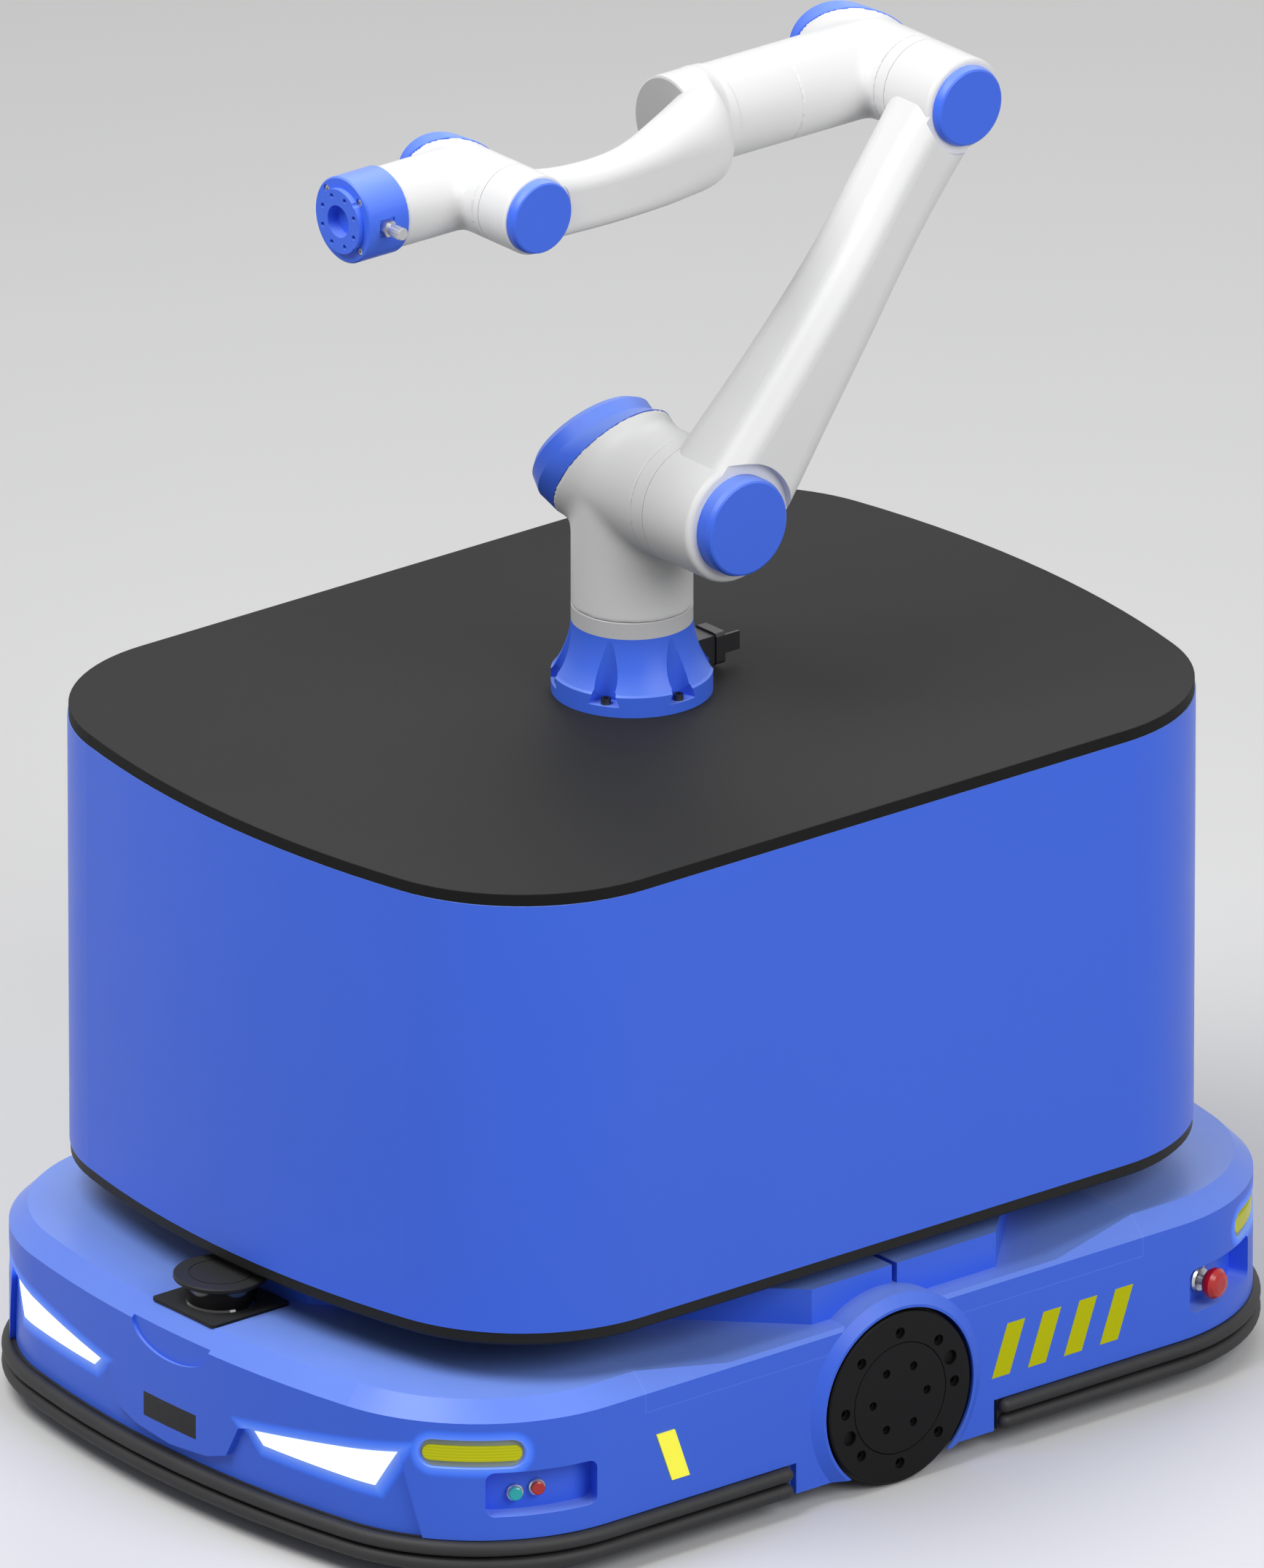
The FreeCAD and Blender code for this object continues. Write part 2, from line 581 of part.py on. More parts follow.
def bumper_rails():
    """Twin rubber tubes on a flat strip, run round the front and the rear of the body."""
    rails = []
    tube_end = RAIL_END_Y + RAIL_R
    whole = outline(BODY_HALF_W, BODY_HALF_L, BODY_CORNER_R, BODY_BOW_R, 0)
    bends = [e for e in whole.Edges if isinstance(e.Curve, Part.Circle)]
    corner_y = min(abs(v.Point.y) for e in bends for v in e.Vertexes)
    for sy in SIDES:
        pieces = []
        for bend in [e for e in bends if sy * e.CenterOfMass.y > 0]:
            turn = math.degrees(bend.LastParameter - bend.FirstParameter)
            pieces.append(rail_profile(bend, True).revolve(bend.Curve.Center, bend.Curve.Axis, turn))
        for sx in SIDES:
            x = sx * BODY_HALF_W
            straight = Part.makeLine(V(x, sy * tube_end, 0), V(x, sy * corner_y, 0))
            pieces.append(rail_profile(straight, True).extrude(V(0, sy * (corner_y - tube_end), 0)))
            stub = Part.makeLine(V(x, sy * RAIL_END_Y, 0), V(x, sy * tube_end, 0))
            pieces.append(rail_profile(stub, False).extrude(V(0, sy * RAIL_R, 0)))
            for z in RAIL_Z:
                tip = V(sx * (BODY_HALF_W + RAIL_PROUD), sy * tube_end, z)
                ball = Part.makeSphere(RAIL_R, tip, V(0, -sy, 0), 0, 90, 360)
                inner = box(*sorted((0, sx * (BODY_HALF_W + RAIL_STRIP - RAIL_BED))), *sorted((0, sy * 2 * tube_end)), 0, 99)
                pieces.append(ball.cut(inner))
        rails.append(fuse(*pieces))
    return Part.makeCompound(rails)


def cover_outline(sy, side_y, split_y, inset, z):
    """Plan outline of one drive cover: long sides, 45 degree shoulders and a narrow nose."""
    waist_x, waist_y = COVER_SIDE_X - COVER_SHOULDER, side_y + COVER_SHOULDER
    right = [(COVER_SIDE_X, split_y), (COVER_SIDE_X, side_y), (waist_x, waist_y)]
    right += [(x, COVER_NOSE_Y - back) for x, back in COVER_NOSE] + [(0, COVER_NOSE_Y)]
    points = right + [(-x, y) for x, y in reversed(right[:-1])]
    face = Part.Face(polygon([V(x, sy * y, z) for x, y in points]))
    return face.makeOffset2D(-inset) if inset else face


def drive_cover(envelope, lids, sy, side_y, split_y):
    outer = cover_outline(sy, side_y, split_y, 0, LID_TOP - 1).extrude(V(0, 0, COVER_TOP - LID_TOP + 1))
    inner = cover_outline(sy, side_y, split_y, COVER_WALL, LID_TOP - 2)
    inner = inner.extrude(V(0, 0, COVER_TOP - LID_TOP + 2 - COVER_WALL))
    cover = outer.cut(inner).cut(envelope).cut(lids)
    for sx in SIDES:
        cover = cover.cut(arch_space(sx))
        cover = cover.cut(rod(POST_R + POST_GAP, V(sx * POST_X, sy * POST_Y, 100), Z_AXIS, 120))
    return cover


# ---------------------------------------------------------------- running gear
def drive_wheel(sx):
    """Bolted wheel: outer face ring with counterbored holes, barrel for the tyre, hub and web."""
    face = WHEEL_FACE_X
    inner = face - WHEEL_W + 4
    web = face - WHEEL_FLANGE - HUB_WEB
    bore = SHAFT_R + SHAFT_FIT
    profile = [(inner, TYRE_INNER_R - 6), (inner, TYRE_INNER_R), (face - WHEEL_FLANGE, TYRE_INNER_R),
               (face - WHEEL_FLANGE, WHEEL_FACE_R), (face - 1.5, WHEEL_FACE_R), (face, WHEEL_FACE_R - 1.5),
               (face, HUB_R + HUB_SEAM), (face - WHEEL_FLANGE, HUB_R + HUB_SEAM),
               (face - WHEEL_FLANGE, HUB_R), (face, HUB_R), (face, 0), (face - WHEEL_FLANGE, 0),
               (face - WHEEL_FLANGE, bore), (inner, bore), (inner, bore + 10), (web, bore + 10),
               (web, TYRE_INNER_R - 6)]
    wheel = revolve_x([(sx * x, r) for x, r in profile], 0, WHEEL_R)
    cuts = []

    def drill(pcr, degrees, radius, depth):
        a = math.radians(degrees)
        at = V(sx * (face + 1), pcr * math.cos(a), WHEEL_R + pcr * math.sin(a))
        cuts.append(rod(radius, at, V(-sx, 0, 0), depth + 1))

    for i in range(RIM_HOLE_COUNT):
        drill(RIM_HOLE_PCR, 360 * i / RIM_HOLE_COUNT, 5.6, 4)
        drill(RIM_HOLE_PCR, 360 * i / RIM_HOLE_COUNT, 3.3, WHEEL_FLANGE + HUB_WEB)
    for degrees in (22.5, 202.5):
        drill(RIM_HOLE_PCR, degrees, 7.5, 5)
    for i in range(HUB_HOLE_COUNT):
        drill(HUB_HOLE_PCR, 360 * i / HUB_HOLE_COUNT, 4.5, 4)
        drill(HUB_HOLE_PCR, 360 * i / HUB_HOLE_COUNT, 2.5, WHEEL_FLANGE + HUB_WEB)
    return wheel.cut(Part.makeCompound(cuts))


def tyre(sx):
    face = WHEEL_FACE_X - WHEEL_FLANGE
    inner = WHEEL_FACE_X - WHEEL_W
    profile = [(inner, TYRE_INNER_R), (face, TYRE_INNER_R), (face, WHEEL_R - 2), (face - 2, WHEEL_R),
               (inner + 2, WHEEL_R), (inner, WHEEL_R - 2)]
    return revolve_x([(sx * x, r) for x, r in profile], 0, WHEEL_R)


def gearmotors():
    """Two motors with round gearboxes, bolted flanges and output shafts."""
    motors = []
    for sx in SIDES:
        back = BRACKET_X - MOTOR_L
        shaft_end = WHEEL_FACE_X - WHEEL_FLANGE - 1
        can = back + MOTOR_CAN_L
        profile = [(back, 0), (back, MOTOR_R - 5), (back + 5, MOTOR_R), (can, MOTOR_R),
                   (can, MOTOR_R - 3), (can + MOTOR_GROOVE, MOTOR_R - 3), (can + MOTOR_GROOVE, MOTOR_R),
                   (BRACKET_X + BRACKET_T, MOTOR_R), (BRACKET_X + BRACKET_T, MOTOR_R + 3),
                   (ARCH_INNER_X - 1, MOTOR_R + 3), (ARCH_INNER_X - 1, SHAFT_R), (shaft_end, SHAFT_R),
                   (shaft_end, 0)]
        motors.append(revolve_x([(sx * x, r) for x, r in profile], 0, WHEEL_R))
    return Part.makeCompound(motors)


def caster_places():
    return {"fl": (1, -1), "fr": (-1, -1), "rl": (1, 1), "rr": (-1, 1)}


def caster_fork(sx, sy):
    """Swivel fork: stem, round crown, two cheeks raked back to the axle, and the axle."""
    cx, cy = sx * CASTER_X, sy * CASTER_Y
    half_in = CASTER_W / 2 + CASTER_CLEAR
    cheek = 4.0
    crown_z = CASTER_TOP - 14
    crown = revolve_z([(crown_z, 0), (crown_z, half_in + cheek + 4), (CASTER_TOP - 8, half_in + cheek + 4),
                       (CASTER_TOP - 4, 16), (CASTER_TOP - 0.5, 16), (CASTER_TOP - 0.5, CASTER_STEM_R),
                       (CASTER_TOP + 5.5, CASTER_STEM_R), (CASTER_TOP + 5.5, 0)], cx, cy)
    axle_y = cy + CASTER_TRAIL
    side = [(cy - 17, crown_z + 2), (cy + 17, crown_z + 2), (axle_y + 11, CASTER_R + 4),
            (axle_y + 8, CASTER_R - 9), (axle_y - 8, CASTER_R - 9), (axle_y - 13, CASTER_R + 4)]
    pieces = []
    for s in SIDES:
        x = cx + half_in if s > 0 else cx - half_in - cheek
        pieces.append(prism([V(x, y, z) for y, z in side], V(cheek, 0, 0)))
    axle = rod(CASTER_AXLE_R, V(cx - half_in - cheek, axle_y, CASTER_R), X_AXIS, 2 * (half_in + cheek))
    return fuse(crown, *pieces, axle)


def caster_wheel(sx, sy):
    cx, axle_y = sx * CASTER_X, sy * CASTER_Y + CASTER_TRAIL
    h = CASTER_W / 2
    profile = [(-h, CASTER_AXLE_R + 0.05), (h, CASTER_AXLE_R + 0.05), (h, 14), (h - 5, 15), (h - 5, 25),
               (h - 1, 27), (h - 1, CASTER_R - 3), (h - 4, CASTER_R), (-h + 4, CASTER_R),
               (-h + 1, CASTER_R - 3), (-h + 1, 27), (-h + 5, 25), (-h + 5, 15), (-h, 14)]
    return revolve_x([(cx + x, r) for x, r in profile], axle_y, CASTER_R)


def caster_plates():
    """Hat brackets that stand on the floor pan and carry the caster stems."""
    plates = []
    reach = 78.0
    leg = 5.0
    top = CASTER_TOP + 6
    for sx, sy in caster_places().values():
        cx, cy = sx * CASTER_X, sy * CASTER_Y
        hat = box(cx - reach, cx + reach, cy - 32, cy + 32, CASTER_TOP, top)
        for s in SIDES:
            x0 = cx + s * reach - (leg if s > 0 else 0)
            hat = hat.fuse(box(x0, x0 + leg, cy - 32, cy + 32, FLOOR_Z + FLOOR_T, CASTER_TOP))
        hole = rod(CASTER_STEM_R + SHAFT_FIT, V(cx, cy, CASTER_TOP - 1), Z_AXIS, 20)
        plates.append(hat.removeSplitter().cut(hole))
    return Part.makeCompound(plates)


def caster_well(sx, sy):
    return rod(73, V(sx * CASTER_X, sy * CASTER_Y, FLOOR_Z - 5), Z_AXIS, 40)


def chassis_frame():
    """Floor pan with caster and wheel cut-outs, and the two motor brackets."""
    pan = body_slab(SILL, FLOOR_Z, FLOOR_Z + FLOOR_T)
    for sx in SIDES:
        pan = pan.cut(arch_space(sx, ARCH_R + 0.3))
        for sy in SIDES:
            pan = pan.cut(caster_well(sx, sy))
    brackets = []
    for sx in SIDES:
        x0 = BRACKET_X if sx > 0 else -BRACKET_X - BRACKET_T
        plate = box(x0, x0 + BRACKET_T, -62, 62, FLOOR_Z + FLOOR_T, WHEEL_R + 48)
        plate = plate.cut(rod(MOTOR_R, V(x0 - 1, 0, WHEEL_R), X_AXIS, BRACKET_T + 2))
        brackets.append(plate)
        for sy in SIDES:
            toe = BRACKET_X if sx > 0 else -BRACKET_X
            gusset = [V(toe, sy * 50, FLOOR_Z + FLOOR_T), V(toe - sx * 55, sy * 50, FLOOR_Z + FLOOR_T),
                      V(toe, sy * 50, WHEEL_R + 40)]
            brackets.append(prism(gusset, V(0, sy * 6, 0)))
    return fuse(pan, *brackets)


def battery_pack():
    low = FLOOR_Z + FLOOR_T
    pack = box(-BATTERY_HALF_W, BATTERY_HALF_W, -BATTERY_HALF_L, BATTERY_HALF_L, low, low + BATTERY_H)
    pack = pack.makeFillet(6, [e for e in pack.Edges if abs(e.tangentAt(e.FirstParameter).z) > 0.9])
    for sy in SIDES:
        grip_y = sy * (BATTERY_HALF_L - 7)
        pack = pack.cut(box(-50, 50, grip_y - 8, grip_y + 8, low + 70, low + 95))
    for sx in SIDES:
        for sy in SIDES:
            post = rod(POST_R + 3, V(sx * POST_X, sy * POST_Y, 0), Z_AXIS, 200)
            pack = pack.cut(post)
    return pack


def electronics():
    """Drive controller on the floor pan and arm controller on the cabinet floor, both finned."""
    low = FLOOR_Z + FLOOR_T
    units = []
    drive_y = [BODY_HALF_L - inset for inset in DRIVE_UNIT_FROM_END]
    for half_w, (y0, y1), z0, height, pitch, slot, depth in (
            (DRIVE_UNIT_HALF_W, drive_y, low, DRIVE_UNIT_H, 24, 4, 16),
            (ARM_UNIT_HALF_W, ARM_UNIT_Y, CAB_WALL_Z, ARM_UNIT_H, 36, 8, 20)):
        unit = box(-half_w, half_w, y0, y1, z0, z0 + height)
        for i in range(FIN_COUNT):
            x = pitch * (i - (FIN_COUNT - 1) / 2)
            unit = unit.cut(box(x - slot, x + slot, y0 - 1, y1 + 1, z0 + height - depth, z0 + height + 1))
        units.append(unit)
    return Part.makeCompound(units)


# ---------------------------------------------------------------- cabinet
def cabinet_supports():
    posts = []
    for sx in SIDES:
        for sy in SIDES:
            profile = [(FLOOR_Z + FLOOR_T, 0), (FLOOR_Z + FLOOR_T, POST_R + 12),
                       (FLOOR_Z + FLOOR_T + 6, POST_R + 12), (FLOOR_Z + FLOOR_T + 6, POST_R),
                       (CAB_BASE_Z, POST_R), (CAB_BASE_Z, 0)]
            posts.append(revolve_z(profile, sx * POST_X, sy * POST_Y))
    return Part.makeCompound(posts)


def cabinet_base():
    slab = cabinet_slab(BASE_STEP, CAB_BASE_Z, CAB_WALL_Z)
    return slab.makeChamfer(3, edges_at_z(slab, CAB_BASE_Z))


def cabinet_shell():
    wall = cabinet_slab(0, CAB_WALL_Z, ROOF_Z)
    return wall.cut(cabinet_slab(CAB_WALL, CAB_WALL_Z - 1, ROOF_Z + 1))


def cabinet_frame():
    """Corner posts of folded channel between the base plate and the roof plate."""
    posts = []
    size, wall = FRAME_SIZE, FRAME_WALL
    x1, y1 = CAB_HALF_W - 50, CAB_HALF_L - 140
    for sx in SIDES:
        for sy in SIDES:
            channel = [(0, 0), (size, 0), (size, wall), (wall, wall), (wall, size), (0, size)]
            points = [V(sx * (x1 - a), sy * (y1 - b), CAB_WALL_Z) for a, b in channel]
            posts.append(prism(points, V(0, 0, ROOF_Z - CAB_WALL_Z)))
    return Part.makeCompound(posts)


def arm_pedestal():
    """Round steel column with a foot and a head flange under the arm."""
    low, high = CAB_WALL_Z + PEDESTAL_FLANGE, ROOF_Z - PEDESTAL_FLANGE
    profile = [(CAB_WALL_Z, PEDESTAL_BORE_R), (CAB_WALL_Z, PEDESTAL_FOOT_R), (low, PEDESTAL_FOOT_R),
               (low, PEDESTAL_R), (high, PEDESTAL_R), (high, PEDESTAL_HEAD_R), (ROOF_Z, PEDESTAL_HEAD_R),
               (ROOF_Z, PEDESTAL_BORE_R)]
    return revolve_z(profile, 0, 0)


def bolt_places():
    return [polar(BOLT_PCR, 360 * i / BOLT_COUNT) for i in range(BOLT_COUNT)]


def roof_plate():
    rim = outline(CAB_HALF_W - ROOF_STEP, CAB_HALF_L - ROOF_STEP, ROOF_CORNER_R, CAB_BOW_R - ROOF_STEP, ROOF_Z)
    plate = Part.Face(rim).extrude(V(0, 0, ROOF_TOP - ROOF_Z))
    plate = plate.makeChamfer(ROOF_EDGE, edges_at_z(plate, ROOF_TOP))
    holes = [rod(3.0, p + Z_AXIS * (ROOF_Z - 1), Z_AXIS, 20) for p in bolt_places()]
    return plate.cut(Part.makeCompound(holes))


# ---------------------------------------------------------------- arm
def arm_base():
    """Flared foot with six bolt pockets that rise into the flare."""
    rim_top = ROOF_TOP + BASE_RIM_H
    flare_h = BASE_FLARE_TOP - rim_top
    mid_r = COLUMN_R + (BASE_R - COLUMN_R) * 0.30
    flare = Part.Arc(V(BASE_R - 2, 0, rim_top), V(mid_r, 0, rim_top + flare_h * 0.45),
                     V(COLUMN_R, 0, BASE_FLARE_TOP)).toShape()
    corners = [V(COLUMN_R, 0, BASE_FLARE_TOP), V(0, 0, BASE_FLARE_TOP), V(0, 0, ROOF_TOP),
               V(BASE_R, 0, ROOF_TOP), V(BASE_R, 0, rim_top - 2), V(BASE_R - 2, 0, rim_top)]
    edges = [flare] + [Part.makeLine(a, b) for a, b in zip(corners, corners[1:])]
    foot = Part.Face(Part.Wire(Part.__sortEdges__(edges))).revolve(V(0, 0, 0), Z_AXIS, 360)
    seat = ROOF_TOP + BOLT_SEAT_H
    cuts = []
    for p in bolt_places():
        out = V(p.x, p.y, 0)
        out.normalize()
        cuts.append(rod(11.0, p + Z_AXIS * seat, Z_AXIS, 60))
        cuts.append(Part.makeCone(16.0, 11.0, 14.0, p + out * 4 + Z_AXIS * seat, Z_AXIS))
        cuts.append(rod(3.3, p + Z_AXIS * (ROOF_TOP - 1), Z_AXIS, 20))
    socket = box(-PLUG_HALF_W, PLUG_HALF_W, *PLUG_Y, *PLUG_Z)
    return foot.cut(Part.makeCompound(cuts)).cut(socket)


def base_bolts():
    bolts = []
    seat = ROOF_TOP + BOLT_SEAT_H
    for p in bolt_places():
        head = rod(5.0, p + Z_AXIS * seat, Z_AXIS, 6.0)
        shank = rod(3.0, p + Z_AXIS * (seat - 16), Z_AXIS, 16.0)
        hexagon = polygon([p + polar(2.9, 60 * i, seat + 3) for i in range(6)])
        bolts.append(fuse(head, shank).cut(Part.Face(hexagon).extrude(V(0, 0, 4))))
    return Part.makeCompound(bolts)


def base_connector():
    """Plug on the rear of the arm base: rounded block, collar and a flat locking tab."""
    block = box(-PLUG_HALF_W, PLUG_HALF_W, *PLUG_Y, *PLUG_Z)
    ring_w = PLUG_HALF_W + PLUG_RING
    ring_y = PLUG_Y[1] - 9
    collar = box(-ring_w, ring_w, ring_y, PLUG_Y[1] + 2, PLUG_Z[0] - PLUG_RING, PLUG_Z[1] + PLUG_RING)
    collar = collar.makeFillet(2 * PLUG_RING, edges_along_y(collar))
    tab = box(PLUG_HALF_W - 7, PLUG_HALF_W - 4, PLUG_Y[1], PLUG_TAB_END_Y, PLUG_Z[0] + 5.4, PLUG_Z[1] - 4.5)
    return fuse(block, collar, tab)


def edges_along_y(shape):
    return [e for e in shape.Edges if abs(e.tangentAt(e.FirstParameter).y) > 0.9]


def base_ring():
    profile = [(BASE_FLARE_TOP, 0), (BASE_FLARE_TOP, COLUMN_R), (J1_Z - 0.5, COLUMN_R), (J1_Z, COLUMN_R - 0.5),
               (J1_Z, 0)]
    return revolve_z(profile, 0, 0)


def elbow_bend(centre, leg, r_leg, leg_length, r_across, across_end, tilt, rings):
    """Angled joint housing and its cap.

    One tube runs along leg, the other along +X. The outside of the bend swells to an oval seat,
    tilted between -X and the back of the leg. A cap closes it, built on the rings from the seat out.
    """
    back = V(-leg.x, -leg.y, -leg.z)
    t = math.radians(tilt)
    normal = V(-math.cos(t), 0, 0) + back * math.sin(t)
    e1 = V(math.sin(t), 0, 0) + back * math.cos(t)
    e2 = normal.cross(e1)
    depth, slide, r1, r2 = rings[0]

    def at(d, s):
        return centre + normal * d + e1 * s

    leg_tube = rod(r_leg, centre, leg, leg_length)
    across = rod(r_across, centre, X_AXIS, across_end)
    ball = Part.makeSphere(min(r_leg, r_across), centre)
    seat = oval(at(depth, slide), e1, e2, r1, r2)
    sections = [oval(at(-0.35 * r2, 0), e1, e2, 0.86 * r2, 0.84 * r2),
                oval(at(0.45 * depth, slide * 0.7), e1, e2, r1 - 0.09 * r2, r2 - 1.2), seat]
    bodies = [across, ball, Part.makeLoft(sections, True, False)]
    behind = rod(3 * r1, at(depth, slide), normal, 3 * r1)
    housing = leg_tube.fuse(bodies).cut(behind).removeSplitter()
    parts = []
    for (d0, s0, a0, b0), (d1, s1, a1, b1) in zip(rings, rings[1:]):
        wires = [oval(at(d0, s0), e1, e2, a0, b0), oval(at(d1, s1), e1, e2, a1, b1)]
        parts.append(Part.makeLoft(wires, True, True))
    return housing, parts[0].fuse(parts[1:]).removeSplitter()


def seam_groove(radius, start, direction):
    """Thin ring to be cut from a tube where two covers meet."""
    outer = rod(radius + 1, start - direction * 0.4, direction, 0.8)
    return outer.cut(rod(radius - 0.8, start - direction * 1.4, direction, 2.8))


def rounded_section(centre, e1, e2, half1, half2, r):
    """Rounded rectangle wire about a centre."""
    def at(a, b):
        return centre + e1 * a + e2 * b

    k = r * (1 - math.sqrt(0.5))
    edges = []
    corners = [(1, 1), (-1, 1), (-1, -1), (1, -1)]
    for i, (a, b) in enumerate(corners):
        na, nb = corners[(i + 1) % 4]
        if a == b:
            start, end = at(a * half1, b * (half2 - r)), at(a * (half1 - r), b * half2)
            line_end = at(na * (half1 - r), nb * half2)
        else:
            start, end = at(a * (half1 - r), b * half2), at(a * half1, b * (half2 - r))
            line_end = at(na * half1, nb * (half2 - r))
        mid = at(a * (half1 - k), b * (half2 - k))
        edges.append(Part.Arc(start, mid, end).toShape())
        edges.append(Part.makeLine(end, line_end))
    return Part.Wire(edges)


def round_cap(radius, start_x, end_x, y, z, edge=3.7):
    """Dished joint cap: short cylinder with a coned edge."""
    profile = [(start_x, 0), (start_x, radius), (end_x - edge - 2, radius), (end_x - edge * 0.3, radius - edge * 0.5),
               (end_x, radius - edge), (end_x, 0)]
    return revolve_x(profile, y, z)


def boss(radius, x0, x1, centre, edge):
    """Round boss along X with a rounded outer end."""
    solid = rod(radius, V(x0, centre.y, centre.z), X_AXIS, x1 - x0)
    return solid.makeFillet(edge, edges_at_x(solid, x1))


def upper_arm():
    """Link between shoulder and elbow: two round bosses joined by a waisted, tapering beam."""
    shoulder = V(0, 0, SHOULDER_Z)
    elbow = V(0, ELBOW_Y, ELBOW_Z)
    length = (elbow - shoulder).Length
    along = (elbow - shoulder) * (1 / length)
    across = X_AXIS.cross(along)
    wires = [rounded_section(shoulder + along * (length * f) + X_AXIS * x, X_AXIS, across, w, h, UPPER_CORNER_R)
             for f, x, w, h in UPPER_STATIONS]
    beam = Part.makeLoft(wires, True, False)
    low_boss = boss(SHOULDER_R, J2_X + SEAM, UPPER_BOSS_END, shoulder, BOSS_EDGE[0])
    high_boss = boss(ELBOW_R, J3_X + SEAM, ELBOW_BOSS_END, elbow, BOSS_EDGE[1])
    arm = beam.fuse([low_boss, high_boss]).removeSplitter()
    arm = arm.cut(rod(SHOULDER_R + 1.5, V(UPPER_BOSS_END, 0, SHOULDER_Z), X_AXIS, 30))
    arm = arm.cut(rod(ELBOW_R + 1.5, V(ELBOW_BOSS_END, ELBOW_Y, ELBOW_Z), X_AXIS, 30))
    arm = arm.cut(seam_groove(SHOULDER_R, V(J2_X + 17, 0, SHOULDER_Z), X_AXIS))
    return arm.cut(seam_groove(ELBOW_R, V(J3_X + 14.5, ELBOW_Y, ELBOW_Z), X_AXIS))


def upper_arm_caps():
    return Part.makeCompound([
        round_cap(UPPER_CAP_R, UPPER_BOSS_END, UPPER_CAP_END, 0, SHOULDER_Z),
        round_cap(ELBOW_CAP_R, ELBOW_BOSS_END, ELBOW_CAP_END, ELBOW_Y, ELBOW_Z)])


def forearm():
    """Goose-necked link from the roll joint round to the wrist boss beside it."""
    head = rod(HEAD_R, V(0, HEAD_Y0, ELBOW_Z), Y_AXIS, HEAD_Y1 - HEAD_Y0)
    neck = rod(FOREARM_R, V(0, HEAD_Y1 - 2, ELBOW_Z), Y_AXIS, J4_Y - SEAM - HEAD_Y1 + 2)
    wires = [rounded_section(V(x, y, ELBOW_Z + rise), X_AXIS, Z_AXIS, w, h, r)
             for y, x, rise, w, h, r in FOREARM_STATIONS]
    link = Part.makeLoft(wires, True, False)
    wrist = V(0, WRIST_Y, ELBOW_Z)
    end = boss(WRIST_R - 0.5, J5_X + SEAM, WRIST_BOSS_END, wrist, BOSS_EDGE[2])
    arm = link.fuse([head, neck, end]).removeSplitter()
    arm = arm.cut(rod(WRIST_R + 1, V(WRIST_BOSS_END, WRIST_Y, ELBOW_Z), X_AXIS, 30))
    arm = arm.cut(rod(WRIST_SWEEP_R, wrist, X_AXIS, J5_X + SEAM))
    return arm.cut(seam_groove(WRIST_R - 0.5, V(J5_X + 8, WRIST_Y, ELBOW_Z), X_AXIS))


def forearm_end_cover(arm):
    """Thin grey disc on the front of the forearm head, clear of the link."""
    disc = revolve_y([(HEAD_Y0 - 1.0, 0), (HEAD_Y0 - 1.0, HEAD_R - 2.5), (HEAD_Y0, HEAD_R - 2.0),
                      (HEAD_Y0, 0)], 0, ELBOW_Z)
    return disc.cut(arm)


def forearm_cap():
    return round_cap(WRIST_CAP_R, WRIST_BOSS_END, WRIST_CAP_END, WRIST_Y, ELBOW_Z, 3.0)


def tool_flange():
    """Robot tool flange: round body, raised register, centring bore, tapped ring and screw pockets."""
    edge = 1.5
    profile = [(J6_Y - SEAM, 0), (J6_Y - SEAM, TOOL_R - edge), (J6_Y - SEAM - edge, TOOL_R),
               (TOOL_FACE_Y + edge, TOOL_R), (TOOL_FACE_Y, TOOL_R - edge), (TOOL_FACE_Y, TOOL_RING_R),
               (TOOL_END_Y, TOOL_RING_R), (TOOL_END_Y, TOOL_BORE_R), (TOOL_END_Y + TOOL_BORE_DEPTH, TOOL_BORE_R),
               (TOOL_END_Y + TOOL_BORE_DEPTH, 0)]
    body = revolve_y(profile, 0, ELBOW_Z)
    cuts = []
    for i in range(TOOL_HOLES):
        a = math.radians(22.5 + 360 * i / TOOL_HOLES)
        p = V(TOOL_PCD / 2 * math.cos(a), TOOL_END_Y - 1, ELBOW_Z + TOOL_PCD / 2 * math.sin(a))
        cuts.append(rod(TOOL_HOLE_R, p, Y_AXIS, 13))
    for i in range(4):
        a = math.radians(45 + 90 * i)
        p = V(34.5 * math.cos(a), TOOL_END_Y - 1, ELBOW_Z + 34.5 * math.sin(a))
        cuts.append(rod(4.2, p, Y_AXIS, TOOL_FACE_Y - TOOL_END_Y + 6))
    flat = box(TOOL_R - 2.5, TOOL_R + 5, -338, -320, ELBOW_Z - 9, ELBOW_Z + 9)
    return body.cut(Part.makeCompound(cuts)).cut(flat)


def tool_connector():
    """Round sensor plug socket on the side of the flange: hexagon nut, collar and knurled cap."""
    y, z = -329.0, ELBOW_Z
    start = TOOL_R - 2.5
    hexagon = polygon([V(start, y + 8.4 * math.cos(math.radians(60 * i)), z + 8.4 * math.sin(math.radians(60 * i)))
                       for i in range(6)])
    nut = Part.Face(hexagon).extrude(V(7.0, 0, 0))
    collar = rod(5.6, V(start + 7, y, z), X_AXIS, 5.0)
    cap = rod(6.2, V(start + 12, y, z), X_AXIS, 13.5)
    cap = cap.makeChamfer(0.8, edges_at_x(cap, start + 25.5))
    slots = []
    for i in range(12):
        a = math.radians(30 * i)
        p = V(start + 14, y + 6.5 * math.cos(a), z + 6.5 * math.sin(a))
        slots.append(rod(0.8, p, X_AXIS, 13))
    return fuse(nut, collar, cap).cut(Part.makeCompound(slots))


